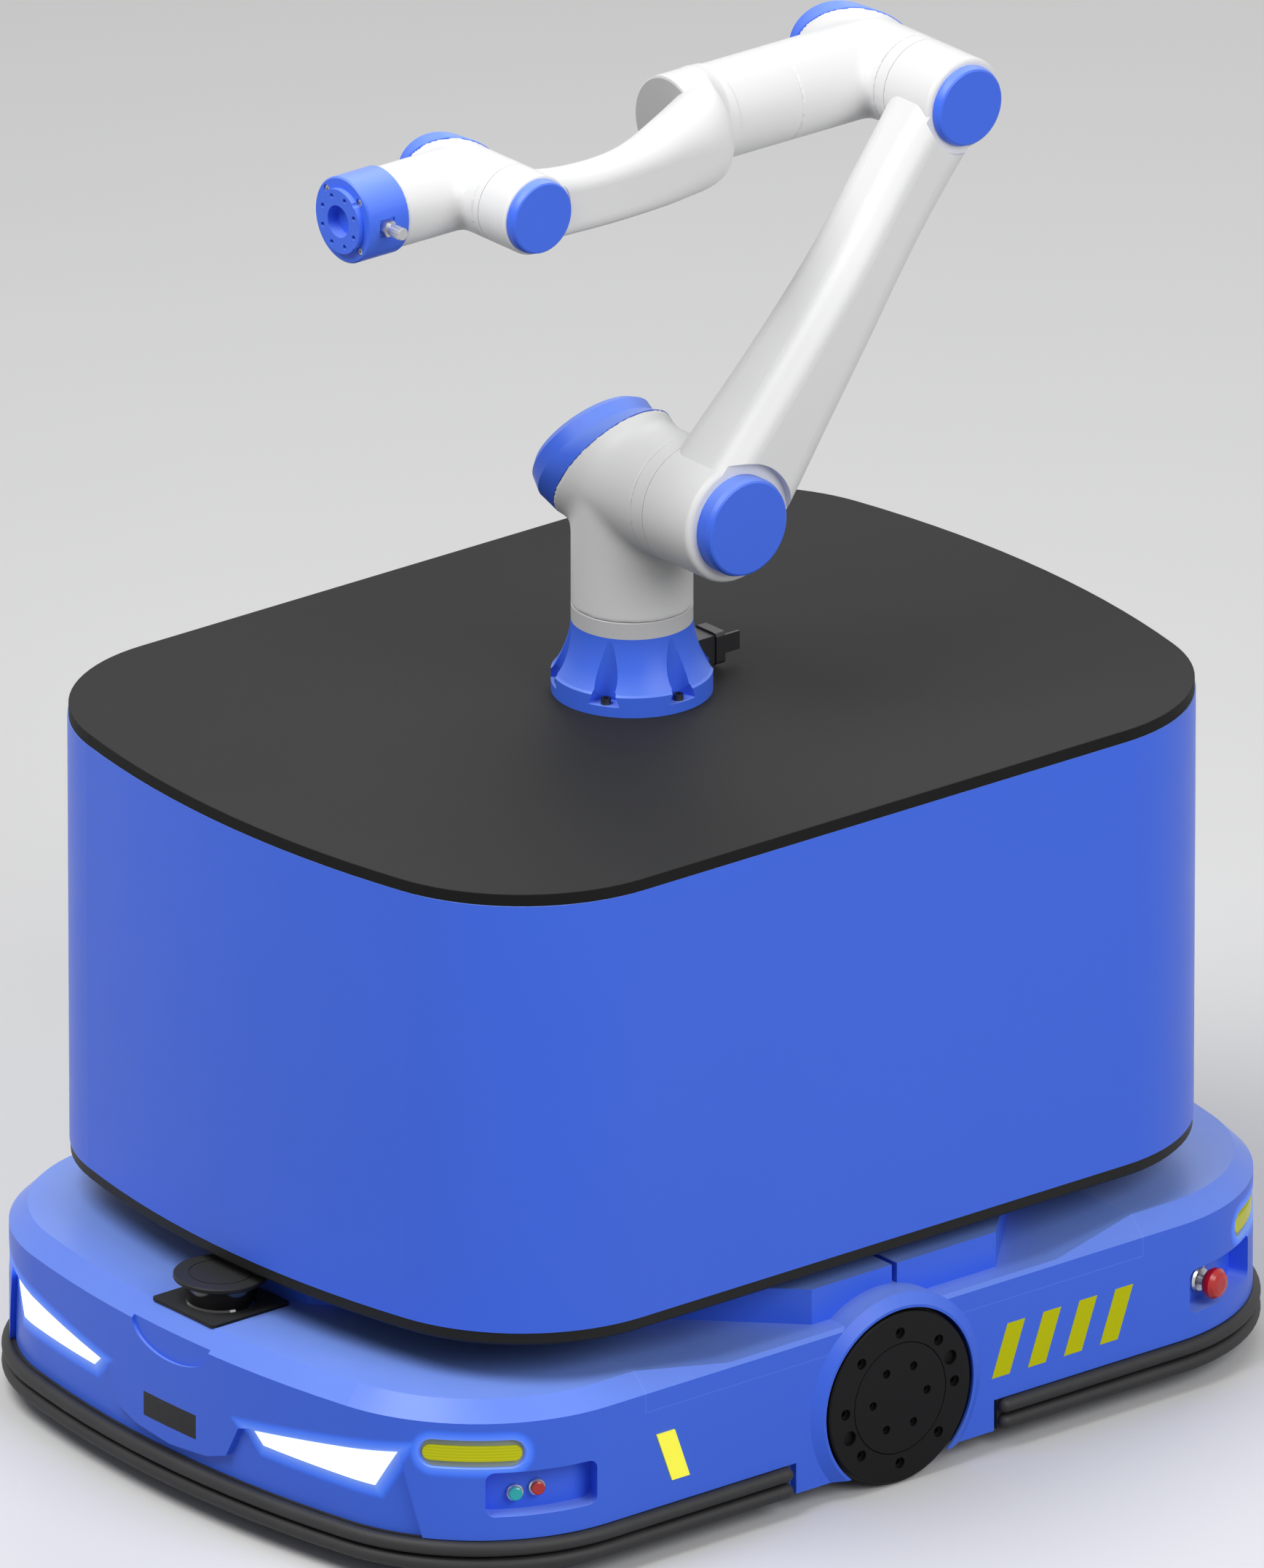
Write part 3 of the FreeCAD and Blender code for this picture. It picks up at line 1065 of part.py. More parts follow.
# ---------------------------------------------------------------- scanner, buttons, trim
def lidar_plate():
    half = LIDAR_PLATE / 2
    plate = box(-half, half, LIDAR_Y - half, LIDAR_Y + half, DECK_TOP, DECK_TOP + LIDAR_PLATE_T)
    upright = [e for e in plate.Edges if abs(e.tangentAt(e.FirstParameter).z) > 0.9]
    return plate.makeFillet(5, upright)


def lidar_body():
    z0 = DECK_TOP + LIDAR_PLATE_T
    return revolve_z([(z0, 0), (z0, LIDAR_R1 + 1), (z0 + 2, LIDAR_R1), (LIDAR_NECK_TOP, LIDAR_R2),
                      (LIDAR_NECK_TOP, 0)], 0, LIDAR_Y)


def lidar_cap():
    top, rim = LIDAR_TOP, LIDAR_RIM_R
    return revolve_z([(LIDAR_NECK_TOP, 0), (LIDAR_NECK_TOP, rim - 2), (LIDAR_NECK_TOP + 1.5, rim), (top - 1, rim),
                      (top, rim - 1), (top, 30.6), (top - 0.6, 30.6), (top - 0.6, 29.6), (top, 29.6), (top, 0)],
                     0, LIDAR_Y)


def button_bezels():
    bezels = []
    for angle, z in zip(BUTTON_ANGLES, BUTTON_Z):
        ring = revolve_x([(0, BUTTON_R + 0.3), (0, BEZEL_R), (3.5, BEZEL_R), (4.5, BEZEL_R - 1),
                          (4.5, BUTTON_R + 0.3)], 0, 0)
        bezels.append(on_corner(ring, angle, 1, -1, BODY_CORNER_R - POCKET_DEPTH, z).cut(pocket_wall(1, -1)))
    return Part.makeCompound(bezels)


def pocket_wall(sx, sy):
    """Round back wall of a control pocket, as a solid."""
    centre, _, _ = in_corner(0, sx, sy)
    return rod(BODY_CORNER_R - POCKET_DEPTH, centre + Z_AXIS * (POCKET_Z0 - 10), Z_AXIS, 80)


def push_button(index):
    """Cap of one push button with its stem space: it travels inwards along its axis."""
    cap = revolve_x([(3.6, 0), (3.6, BUTTON_R), (7.2, BUTTON_R), (8.0, BUTTON_R - 1.2), (8.0, 0)], 0, 0)
    return on_corner(cap, BUTTON_ANGLES[index], 1, -1, BODY_CORNER_R - POCKET_DEPTH, BUTTON_Z[index])


def estop_collar():
    bore = ESTOP_STEM_R + SHAFT_FIT
    ring = revolve_x([(0, bore), (0, 13), (3, 13), (5, 11), (5, bore)], 0, 0)
    return on_corner(ring, ESTOP_ANGLE, 1, 1, BODY_CORNER_R - POCKET_DEPTH, ESTOP_Z).cut(pocket_wall(1, 1))


def estop_stem():
    stem = revolve_x([(-1.5, 0), (-1.5, ESTOP_STEM_R), (12.0, ESTOP_STEM_R), (12.0, 3.0), (17.0, 3.0), (17.0, 0)],
                     0, 0)
    return on_corner(stem, ESTOP_ANGLE, 1, 1, BODY_CORNER_R - POCKET_DEPTH, ESTOP_Z)


def estop_head():
    head = revolve_x([(12.0, 3.05), (12.0, 9), (14.5, 13), (18.0, ESTOP_R), (23.0, ESTOP_R), (27.0, ESTOP_R - 3),
                      (28.5, ESTOP_R - 8), (28.5, 0), (17.05, 0), (17.05, 3.05)], 0, 0)
    return on_corner(head, ESTOP_ANGLE, 1, 1, BODY_CORNER_R - POCKET_DEPTH, ESTOP_Z)


def charge_contacts():
    """Charging pad on the rear: a moulded frame with two contact bars."""
    frame = box(-45, 45, BODY_HALF_L - 1, BODY_HALF_L + 5, 88, 132)
    frame = frame.makeFillet(5, edges_along_y(frame))
    bars = [box(-32, 32, BODY_HALF_L + 4, BODY_HALF_L + 7, z, z + 10) for z in (96, 114)]
    pad = fuse(frame, *bars)
    return pad.cut(body_slab(0, 0, 200))


def reflectors():
    plates = []
    (top, high_y), (bottom, low_y) = REFLECTOR_EDGES
    points = [(high_y[0], top), (high_y[1], top), (low_y[1], bottom), (low_y[0], bottom)]
    for sx in SIDES:
        x = sx * BODY_HALF_W
        plates.append(prism([V(x, y, z) for y, z in points], V(sx * 1.5, 0, 0)))
    return Part.makeCompound(plates)


# ---------------------------------------------------------------- build
def build():
    envelope = body_envelope()
    shoulder = elbow_bend(V(0, 0, SHOULDER_Z), V(0, 0, -1), COLUMN_R, SHOULDER_Z - J1_Z - SEAM,
                          SHOULDER_R, J2_X, SHOULDER_TILT, SHOULDER_RINGS)
    elbow = elbow_bend(V(0, ELBOW_Y, ELBOW_Z), V(0, -1, 0), FOREARM_R, ELBOW_Y - J4_Y,
                       ELBOW_R, J3_X, ELBOW_TILT, ELBOW_RINGS)
    wrist = elbow_bend(V(0, WRIST_Y, ELBOW_Z), V(0, -1, 0), WRIST_R, WRIST_Y - J6_Y,
                       WRIST_R - 0.5, J5_X, WRIST_TILT, WRIST_RINGS)
    forearm_link = forearm()
    lids = side_lids(envelope)
    pieces = {
        "chassis_frame": chassis_frame(), "body_shell": body_shell(envelope), "side_lids": lids,
        "wheel_arches": wheel_arches(),
        "drive_cover_front": drive_cover(envelope, lids, -1, COVER_FRONT_Y, -COVER_SPLIT[0]),
        "drive_cover_rear": drive_cover(envelope, lids, 1, COVER_REAR_Y, COVER_SPLIT[1]),
        "bumper_rails": bumper_rails(), "headlights": headlights(), "indicator_lenses": indicator_lenses(),
        "camera_window": camera_window(), "lidar_plate": lidar_plate(), "lidar_body": lidar_body(),
        "lidar_cap": lidar_cap(), "button_bezels": button_bezels(), "estop_collar": estop_collar(),
        "charge_contacts": charge_contacts(), "reflectors": reflectors(), "battery_pack": battery_pack(),
        "electronics": electronics(), "gearmotors": gearmotors(), "caster_plates": caster_plates(),
        "cabinet_supports": cabinet_supports(), "cabinet_base": cabinet_base(),
        "cabinet_shell": cabinet_shell(), "cabinet_frame": cabinet_frame(), "arm_pedestal": arm_pedestal(),
        "roof_plate": roof_plate(), "arm_base": arm_base(), "base_bolts": base_bolts(),
        "base_connector": base_connector(), "base_ring": base_ring(),
        "start_button": push_button(0), "stop_button": push_button(1),
        "estop_stem": estop_stem(), "estop_head": estop_head(),
        "drive_wheel_left": drive_wheel(1), "drive_wheel_right": drive_wheel(-1),
        "tyre_left": tyre(1), "tyre_right": tyre(-1),
        "shoulder_housing": shoulder[0], "shoulder_rear_cap": shoulder[1],
        "upper_arm": upper_arm(), "upper_arm_caps": upper_arm_caps(),
        "elbow_housing": elbow[0], "elbow_rear_cap": elbow[1],
        "forearm": forearm_link, "forearm_end_cover": forearm_end_cover(forearm_link),
        "forearm_cap": forearm_cap(), "wrist_housing": wrist[0], "wrist_rear_cap": wrist[1],
        "tool_flange": tool_flange(), "tool_connector": tool_connector(),
    }
    for corner, (sx, sy) in caster_places().items():
        pieces["caster_fork_" + corner] = caster_fork(sx, sy)
        pieces["caster_wheel_" + corner] = caster_wheel(sx, sy)
    return pieces


def main():
    os.makedirs("parts", exist_ok=True)
    for name, shape in build().items():
        if not shape.isValid() or shape.Volume <= 0:
            print("check", name, "valid", shape.isValid(), "volume", shape.Volume)
        shape.exportStep("parts/" + name + ".step")


main()
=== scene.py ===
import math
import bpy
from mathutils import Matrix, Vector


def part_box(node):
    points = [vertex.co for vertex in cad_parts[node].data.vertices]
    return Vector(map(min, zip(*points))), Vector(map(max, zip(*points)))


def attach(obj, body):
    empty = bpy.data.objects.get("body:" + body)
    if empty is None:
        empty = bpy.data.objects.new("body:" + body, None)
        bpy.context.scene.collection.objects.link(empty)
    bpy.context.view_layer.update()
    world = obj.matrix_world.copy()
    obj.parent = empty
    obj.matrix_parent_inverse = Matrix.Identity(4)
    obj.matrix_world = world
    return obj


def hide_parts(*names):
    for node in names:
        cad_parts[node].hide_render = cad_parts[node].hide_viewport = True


bl_info = {
    "name": "Mobile robot with arm",
    "version": (1, 0, 0),
    "blender": (4, 5, 0),
    "location": "3D View > Sidebar > Robot",
    "description": "Finishes, small parts and studio for a mobile robot with a six axis arm",
    "category": "Object",
}

import bpy
from bpy.props import FloatProperty, FloatVectorProperty, IntProperty, PointerProperty
from mathutils import Matrix, Vector

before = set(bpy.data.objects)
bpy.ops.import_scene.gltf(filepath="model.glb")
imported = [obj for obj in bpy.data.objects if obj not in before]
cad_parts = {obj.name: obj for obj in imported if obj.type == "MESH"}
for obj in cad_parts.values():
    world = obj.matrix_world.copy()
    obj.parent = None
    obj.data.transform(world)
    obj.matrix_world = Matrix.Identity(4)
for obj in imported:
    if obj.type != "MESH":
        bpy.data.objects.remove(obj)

MM = 0.001
SIDES = (1, -1)
BODY_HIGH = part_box("body_shell")[1]
ROOF_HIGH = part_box("roof_plate")[1]
FLANGE_LOW, FLANGE_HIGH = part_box("tool_flange")
PAN_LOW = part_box("chassis_frame")[0]
TYRE_LOW, TYRE_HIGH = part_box("tyre_left")
FLANGE_Z = (FLANGE_LOW[2] + FLANGE_HIGH[2]) / 2


def colour_prop(name, description, value):
    return FloatVectorProperty(name=name, description=description, subtype="COLOR", size=3, min=0.0, max=1.0,
                               default=value)


def length_prop(name, description, mm):
    return FloatProperty(name=name, description=description, unit="LENGTH", default=mm * MM)


def rgba(colour):
    return (*colour[:3], 1.0)


def scaled(colour, share):
    return tuple(share * c for c in colour)


# ---------------------------------------------------------------- settings
class RobotColours(bpy.types.PropertyGroup):
    body: colour_prop("Body", "Paint of the body, the covers and the cabinet", (0.056, 0.162, 0.88))
    arm: colour_prop("Arm", "Arm housings and links", (0.78, 0.78, 0.78))
    trim: colour_prop("Arm trim", "Joint caps, arm foot and tool flange", (0.060, 0.166, 0.88))
    roof: colour_prop("Roof", "Top face of the cabinet roof", (0.026, 0.026, 0.026))
    black: colour_prop("Black", "Edges, wheels and scanner", (0.010, 0.010, 0.010))
    rubber: colour_prop("Rubber", "Bumpers and tyres", (0.014, 0.014, 0.0145))
    marking: colour_prop("Marking", "Stripes and indicator lenses", (0.62, 0.63, 0.002))
    reflector: colour_prop("Reflector", "Side reflectors", (1.0, 0.95, 0.035))
    glow: colour_prop("Lamp glow", "Light that the lamps throw on the paint round them", (0.0, 0.05, 0.30))
    glow_edge: colour_prop("Lamp glow edge", "The same light close to the lamp", (0.16, 0.24, 0.34))
    start: colour_prop("Start", "Start button", (0.0, 0.52, 0.50))
    stop: colour_prop("Stop", "Stop button and emergency stop", (0.55, 0.005, 0.005))


class RobotStripes(bpy.types.PropertyGroup):
    count: IntProperty(name="Count", description="Stripes on each side", default=4, min=1, max=8)
    width: length_prop("Width", "Width of one stripe along the body", 21.8)
    height: length_prop("Height", "Height of one stripe", 52.0)
    lean: length_prop("Lean", "How far the top lies behind the bottom", 19.0)
    pitch: length_prop("Pitch", "Distance from one stripe to the next", 44.3)
    first: length_prop("First", "Middle of the first stripe behind the wheel axle", 138.5)
    low: length_prop("Low edge", "Height of the lower edge above the floor", 74.0)
    thick: length_prop("Thickness", "Thickness of the film", 0.35)


class RobotFasteners(bpy.types.PropertyGroup):
    flange_circle: length_prop("Flange circle", "Radius of the screw circle on the tool flange", 34.5)
    flange_head: length_prop("Flange head", "Radius of the screw heads on the tool flange", 3.7)
    nut: length_prop("Axle nut", "Radius over the corners of the caster axle nuts", 7.4)
    pan_head: length_prop("Pan head", "Radius of the button heads under the floor pan", 5.0)


class RobotHousings(bpy.types.PropertyGroup):
    voxel: length_prop("Skin step", "Distance between the points of the housings' skin", 2.0)
    shoulder: IntProperty(name="Shoulder blend", description="Rounds of filling at the shoulder", default=14, min=0)
    elbow: IntProperty(name="Elbow blend", description="Rounds of filling at the elbow", default=9, min=0)
    wrist: IntProperty(name="Wrist blend", description="Rounds of filling at the wrist", default=6, min=0)


class RobotStage(bpy.types.PropertyGroup):
    floor: FloatProperty(name="Floor", description="Radius of the floor", unit="LENGTH", default=14.0)
    floor_grey: FloatProperty(name="Floor grey", description="Level of the pale floor", default=0.74, min=0, max=1)
    key: FloatProperty(name="Key power", description="Power of the main soft lamp", unit="POWER", default=185.0)
    key_size: FloatProperty(name="Key size", description="Size of the main soft lamp", unit="LENGTH", default=3.2)
    sky: FloatProperty(name="Sky", description="Strength of the even light all round", default=0.32, min=0, max=2)
    azimuth: FloatProperty(name="Azimuth", description="Bearing of the camera from the front", subtype="ANGLE",
                           default=math.radians(50.85))
    elevation: FloatProperty(name="Elevation", description="Height of the camera above the horizon",
                             subtype="ANGLE", default=math.radians(22.0))
    lens: FloatProperty(name="Lens", description="Focal length in millimetres", default=1000.0)
    frame_height: FloatProperty(name="Frame height", description="Height seen at the object", unit="LENGTH",
                                default=1.4925)
    aim: FloatProperty(name="Aim", description="Aim above the origin, in the picture's plane", unit="LENGTH",
                       default=0.5452)


# ---------------------------------------------------------------- node arithmetic
FIXED_SOCKETS = {"specular_ior_level": "Specular IOR Level", "coat_weight": "Coat Weight",
                 "coat_roughness": "Coat Roughness", "emission_strength": "Emission Strength"}
DUST = (0.80, 0.81, 0.84)


class Signal:
    """A value on its way through a material, so that shader sums read as plain arithmetic."""

    def __init__(self, tree, socket):
        self.tree, self.socket = tree, socket

    def maths(self, operation, *values, clamp=False):
        return self.tree.node("ShaderNodeMath", values, operation=operation, use_clamp=clamp)

    def __add__(self, other):
        return self.maths("ADD", self, other)

    def __radd__(self, other):
        return self.maths("ADD", other, self)

    def __sub__(self, other):
        return self.maths("SUBTRACT", self, other)

    def __rsub__(self, other):
        return self.maths("SUBTRACT", other, self)

    def __mul__(self, other):
        return self.maths("MULTIPLY", self, other)

    def __rmul__(self, other):
        return self.maths("MULTIPLY", other, self)

    def __truediv__(self, other):
        return self.maths("DIVIDE", self, other)

    def __rtruediv__(self, other):
        return self.maths("DIVIDE", other, self)

    def __pow__(self, other):
        return self.maths("POWER", self, other)

    def __abs__(self):
        return self.maths("ABSOLUTE", self)

    def max(self, other):
        return self.maths("MAXIMUM", self, other)

    def clamp(self):
        return self.maths("ADD", self, 0.0, clamp=True)

    def above(self, edge, soft=0.0):
        """1 where the value is past the edge and 0 below it, over a soft width."""
        if soft:
            return self.maths("ADD", (self - edge) / soft, 0.5, clamp=True)
        return self.maths("GREATER_THAN", self, edge)

    def below(self, edge, soft=0.0):
        return 1.0 - self.above(edge, soft)


class Finish:
    """One material: its node tree and the few recipes that the finishes share."""

    def __init__(self, name):
        self.material = bpy.data.materials.new(name)
        self.material.use_nodes = True
        self.nodes = self.material.node_tree.nodes
        self.links = self.material.node_tree.links
        self.shader = self.nodes["Principled BSDF"]
        self.place = self.node("ShaderNodeTexCoord", output="Object")
        self.x = self.node("ShaderNodeSeparateXYZ", (self.place,), output="X")
        split = self.x.socket.node
        self.y, self.z = Signal(self, split.outputs["Y"]), Signal(self, split.outputs["Z"])

    def node(self, kind, inputs=(), output=0, **settings):
        """Adds a node, fills its inputs by order or by name, and returns one output."""
        node = self.nodes.new(kind)
        for key, value in settings.items():
            setattr(node, key, value)
        pairs = inputs.items() if isinstance(inputs, dict) else enumerate(inputs)
        for key, value in pairs:
            if isinstance(value, Signal):
                self.links.new(value.socket, node.inputs[key])
            elif isinstance(value, (tuple, list)) and len(value) == 3 and node.inputs[key].type == "RGBA":
                node.inputs[key].default_value = rgba(value)
            else:
                node.inputs[key].default_value = value
        return Signal(self, node.outputs[output])

    def noise(self, scale, detail=3.0, rough=0.5, stretch=(1, 1, 1)):
        where = self.place
        if stretch != (1, 1, 1):
            where = self.node("ShaderNodeMapping", {"Vector": self.place, "Scale": stretch})
        return self.node("ShaderNodeTexNoise", {"Vector": where, "Scale": scale, "Detail": detail, "Roughness": rough})

    def mix(self, factor, first, second):
        """Colour between two colours."""
        return self.node("ShaderNodeMix", {0: factor, 6: first if isinstance(first, Signal) else rgba(first),
                                           7: second if isinstance(second, Signal) else rgba(second)},
                         output=2, data_type="RGBA")

    def dust_and_painted_sheen(self, colour, amount, dust=DUST):
        """Paler colour on faces that look up: a trace of pale dust with the dust colour, and a painted sheen, standing
        in for light from above, with the sheen tint.
        """
        up = self.node("ShaderNodeNewGeometry", output="Normal")
        rise = self.node("ShaderNodeSeparateXYZ", (up,), output="Z")
        paler_top_share = ((rise - 0.35) / 0.55).clamp() * (0.8 + 0.4 * self.noise(9.0, 5.0, 0.6)) * amount
        return self.mix(paler_top_share.clamp(), colour, dust)

    def bump(self, height, strength, distance):
        return self.node("ShaderNodeBump", {"Height": height, "Strength": strength, "Distance": distance * MM},
                         output="Normal")

    def finish(self, colour, roughness, normal=None, metallic=0.0, emission=None, **fixed):
        """Wires the surface: varying inputs by signal, the rest set on the shader's own sockets."""
        inputs = self.shader.inputs
        wired = {"Base Color": colour, "Roughness": roughness, "Metallic": metallic, "Normal": normal,
                 "Emission Color": emission}
        for key, value in wired.items():
            if isinstance(value, Signal):
                self.links.new(value.socket, inputs[key])
            elif value is not None:
                inputs[key].default_value = rgba(value) if inputs[key].type == "RGBA" else value
        for key, value in fixed.items():
            inputs[FIXED_SOCKETS[key]].default_value = value
        return self.material


def grained(finish, colour, roughness, grain, depth, cloud=0.05, spread=0.08, dust=0.0,
            dust_and_sheen_colour=DUST, **fixed):
    """Moulded or sprayed surface: cloudy tone, uneven gloss and a fine raised grain."""
    tone = finish.noise(7.0, 4.0) * cloud
    base = finish.mix((tone + 0.5 * cloud).clamp(), colour, (0.0, 0.0, 0.0))
    # Faces that look up are painted paler: a trace of real dust with the pale dust colour, and a painted sheen where
    # the sheen tint is passed.
    if dust:
        base = finish.dust_and_painted_sheen(base, dust, dust_and_sheen_colour)
    gloss = finish.noise(23.0, 5.0, 0.6)
    rough = (roughness - spread / 2) + spread * gloss
    fine = finish.noise(grain, 2.0)
    return finish.finish(base, rough, finish.bump(fine, 0.35, depth), **fixed)


# ---------------------------------------------------------------- finishes
# Places on the body in millimetres, as the body shell has them.
LAMP_CORNERS = ((116.0, 108.0), (128.0, 97.0), (264.5, 95.0), (286.0, 133.0))
LAMP_REACH = 14.0
FRONT_Y = -380.0
CORNER_PLACE = (200.5, 349.7)
CORNER_RADIUS = 193.5
INDICATOR_DEGREES = 40.8
INDICATOR_Z = 138.7
RECESS_HALF_W, RECESS_HALF_H = 51.2, 14.5
INDICATOR_REACH = 10.0
LID_SEAM_Z = 151.3
LID_END_Y = 304.0
LID_SIDE_X = 269.0
WINDOW_Z = 89.3
CAMERA_LENS_X = 22.0
# Tint of the painted sheen: paint is painted paler where it faces up, standing in for light from above.
PAINTED_SHEEN_TINT = (0.70, 0.92, 1.0)


def lamp_glow(finish):
    """Falls from 1 at the edge of a lamp to 0 a short way off, on the front of the body."""
    x, z = abs(finish.x) / MM, finish.z / MM
    distance = None
    for (x0, z0), (x1, z1) in zip(LAMP_CORNERS, LAMP_CORNERS[1:] + LAMP_CORNERS[:1]):
        length = math.hypot(x1 - x0, z1 - z0)
        out_x, out_z = (z1 - z0) / length, (x0 - x1) / length
        side = x * out_x + z * out_z - (x0 * out_x + z0 * out_z)
        distance = side if distance is None else distance.max(side)
    near = (1.0 - distance / LAMP_REACH).clamp()
    return near * (finish.y / MM).below(FRONT_Y)


def indicator_glow(finish):
    """Glow round the corner indicators, and the mask of their recesses, measured along the round corner."""
    dx = abs(finish.x) / MM - CORNER_PLACE[0]
    dy = abs(finish.y) / MM - CORNER_PLACE[1]
    turn = finish.node("ShaderNodeMath", (dy, dx), operation="ARCTAN2")
    along = abs(turn - math.radians(INDICATOR_DEGREES)) * CORNER_RADIUS
    beyond = (along - (RECESS_HALF_W - RECESS_HALF_H)).max(0.0)
    rise = finish.z / MM - INDICATOR_Z
    distance = ((beyond * beyond + rise * rise) ** 0.5) - RECESS_HALF_H
    near = (1.0 - distance / INDICATOR_REACH).clamp()
    inside = distance.below(-0.3, 0.6)
    return near, inside


def lid_joint_highlight(finish):
    """Mask of the fine joints where the side lids meet the body; the body paint draws them as lighter lines, a painted
    highlight where a joint's edge would catch light.
    """
    x, y, z = abs(finish.x) / MM, abs(finish.y) / MM, finish.z / MM
    level = abs(z - LID_SEAM_Z).below(0.45, 0.3) * y.below(LID_END_Y + 0.5)
    end = abs(y - LID_END_Y).below(0.45, 0.3) * z.above(LID_SEAM_Z)
    return (level + end).clamp() * x.above(LID_SIDE_X)


def body_paint(colours):
    """Blue satin paint, with the lit rims round the lamps, the indicator recesses, the lid joints painted as lighter
    lines (a painted highlight), and a painted sheen that makes faces which look up paler.
    """
    finish = Finish("body_paint")
    cloud = finish.noise(5.0, 4.0) * 0.05
    base = finish.mix((cloud + 0.01).clamp(), colours.body, (0.0, 0.0, 0.0))
    lamp, (indicator, recess) = lamp_glow(finish), indicator_glow(finish)
    # Lid joints painted lighter than the paint round them: a painted highlight.
    base = finish.mix(lid_joint_highlight(finish) * 0.6, base, (0.13, 0.25, 0.98))
    # Painted sheen: faces that look up are painted paler, standing in for the light from above.
    base = finish.dust_and_painted_sheen(base, 0.22, PAINTED_SHEEN_TINT)
    base = finish.mix(recess * 0.95, base, (0.34, 0.38, 0.26))
    near = lamp.max(indicator * (1.0 - recess) * 0.7)
    light = finish.mix((near * 3.0).clamp(), (0.0, 0.0, 0.0), colours.glow)
    light = finish.mix((near * near).clamp(), light, colours.glow_edge)
    rough = 0.30 + 0.10 * finish.noise(19.0, 5.0, 0.6)
    peel = finish.bump(finish.noise(520.0, 1.0), 0.12, 0.25)
    return finish.finish(base, rough, peel, emission=light, emission_strength=1.0,
                         specular_ior_level=0.3)


def cabinet_paint(colours):
    finish = Finish("cabinet_paint")
    cloud = finish.noise(4.0, 4.0) * 0.05
    base = finish.mix((cloud + 0.01).clamp(), colours.body, (0.0, 0.0, 0.0))
    rough = 0.32 + 0.10 * finish.noise(17.0, 5.0, 0.6)
    peel = finish.bump(finish.noise(480.0, 1.0), 0.12, 0.25)
    # The paint is painted paler on faces that look up: a painted sheen that stands in for light from above.
    return finish.finish(finish.dust_and_painted_sheen(base, 0.22, PAINTED_SHEEN_TINT), rough, peel, specular_ior_level=0.3)


def arm_shell(colours):
    return grained(Finish("arm_shell"), colours.arm, 0.42, 900.0, 0.12, 0.03, 0.10,
                   specular_ior_level=0.35)


def arm_trim(colours):
    # The trim is painted paler on faces that look up: a painted sheen that stands in for light from above.
    return grained(Finish("arm_trim"), colours.trim, 0.38, 900.0, 0.12, 0.04, 0.08, 0.18, PAINTED_SHEEN_TINT,
                   specular_ior_level=0.3)


def arm_ring(colours):
    return grained(Finish("arm_ring"), (0.62, 0.62, 0.63), 0.42, 900.0, 0.1, 0.04, 0.08)


def roof_coat(colours):
    """Dark anti-slip top with a blacker edge."""
    finish = Finish("roof_coat")
    top = (finish.z - (ROOF_HIGH[2] - 0.0004)).above(0.0)
    cloud = finish.noise(6.0, 5.0) * 0.12
    base = finish.mix((cloud + 0.02).clamp(), finish.mix(top, colours.black, colours.roof), (0.0, 0.0, 0.0))
    speck = finish.noise(1400.0, 1.0)
    rough = 0.52 + 0.16 * speck
    return finish.finish(base, rough, finish.bump(speck, 0.4, 0.12), specular_ior_level=0.1)


def black_plastic(colours):
    return grained(Finish("black_plastic"), colours.black, 0.48, 1100.0, 0.12, 0.15, 0.12, 0.03,
                   specular_ior_level=0.2)


def black_gloss(colours):
    finish = Finish("black_gloss")
    smear = finish.noise(14.0, 6.0, 0.65)
    base = finish.mix(smear * 0.25, (0.004, 0.004, 0.005), (0.012, 0.012, 0.014))
    return finish.finish(base, 0.05 + 0.10 * smear, coat_weight=0.6, coat_roughness=0.05)


def rubber(colours):
    """Bumper rubber: matt, slightly dusty, with a fine skin."""
    finish = Finish("rubber")
    dust = finish.noise(11.0, 6.0, 0.62)
    base = finish.mix((dust - 0.45).clamp() * 0.5, colours.rubber, (0.10, 0.10, 0.10))
    skin = finish.noise(850.0, 2.0)
    return finish.finish(base, 0.50 + 0.20 * dust, finish.bump(skin, 0.3, 0.15))


def tyre_rubber(colours):
    """Tyre: fine grooves run round the tread."""
    finish = Finish("tyre_rubber")
    across = abs(finish.x) / MM
    ribs = finish.node("ShaderNodeMath", (across, 6.0), operation="MODULO")
    groove = abs(ribs - 3.0).below(0.5, 0.4)
    dust = finish.noise(16.0, 6.0, 0.62)
    base = finish.mix((dust - 0.4).clamp() * 0.5, colours.rubber, (0.13, 0.125, 0.12))
    return finish.finish(base, 0.62 + 0.2 * dust, finish.bump(1.0 - groove, 0.5, 0.8))


def caster_tread(colours):
    """Caster wheel: dark plastic with grey dusty patches and a fine grain."""
    finish = Finish("caster_tread")
    dust = finish.noise(40.0, 5.0, 0.6)
    base = finish.mix((dust - 0.4).clamp() * 0.6, (0.05, 0.05, 0.052), (0.15, 0.145, 0.14))
    return finish.finish(base, 0.5 + 0.25 * dust, finish.bump(finish.noise(700.0, 2.0), 0.25, 0.2))


def wheel_metal(colours):
    """Black anodised wheel face, finely turned."""
    finish = Finish("wheel_metal")
    axle = finish.z - (TYRE_LOW[2] + TYRE_HIGH[2]) / 2
    radius = ((finish.y * finish.y + axle * axle) ** 0.5) / MM
    turning = finish.node("ShaderNodeMath", (radius * 4.2,), operation="SINE")
    cloud = finish.noise(30.0, 4.0)
    base = finish.mix(cloud * 0.3, (0.008, 0.008, 0.008), (0.015, 0.015, 0.016))
    return finish.finish(base, 0.42 + 0.12 * cloud, finish.bump(turning, 0.08, 0.05), specular_ior_level=0.12)


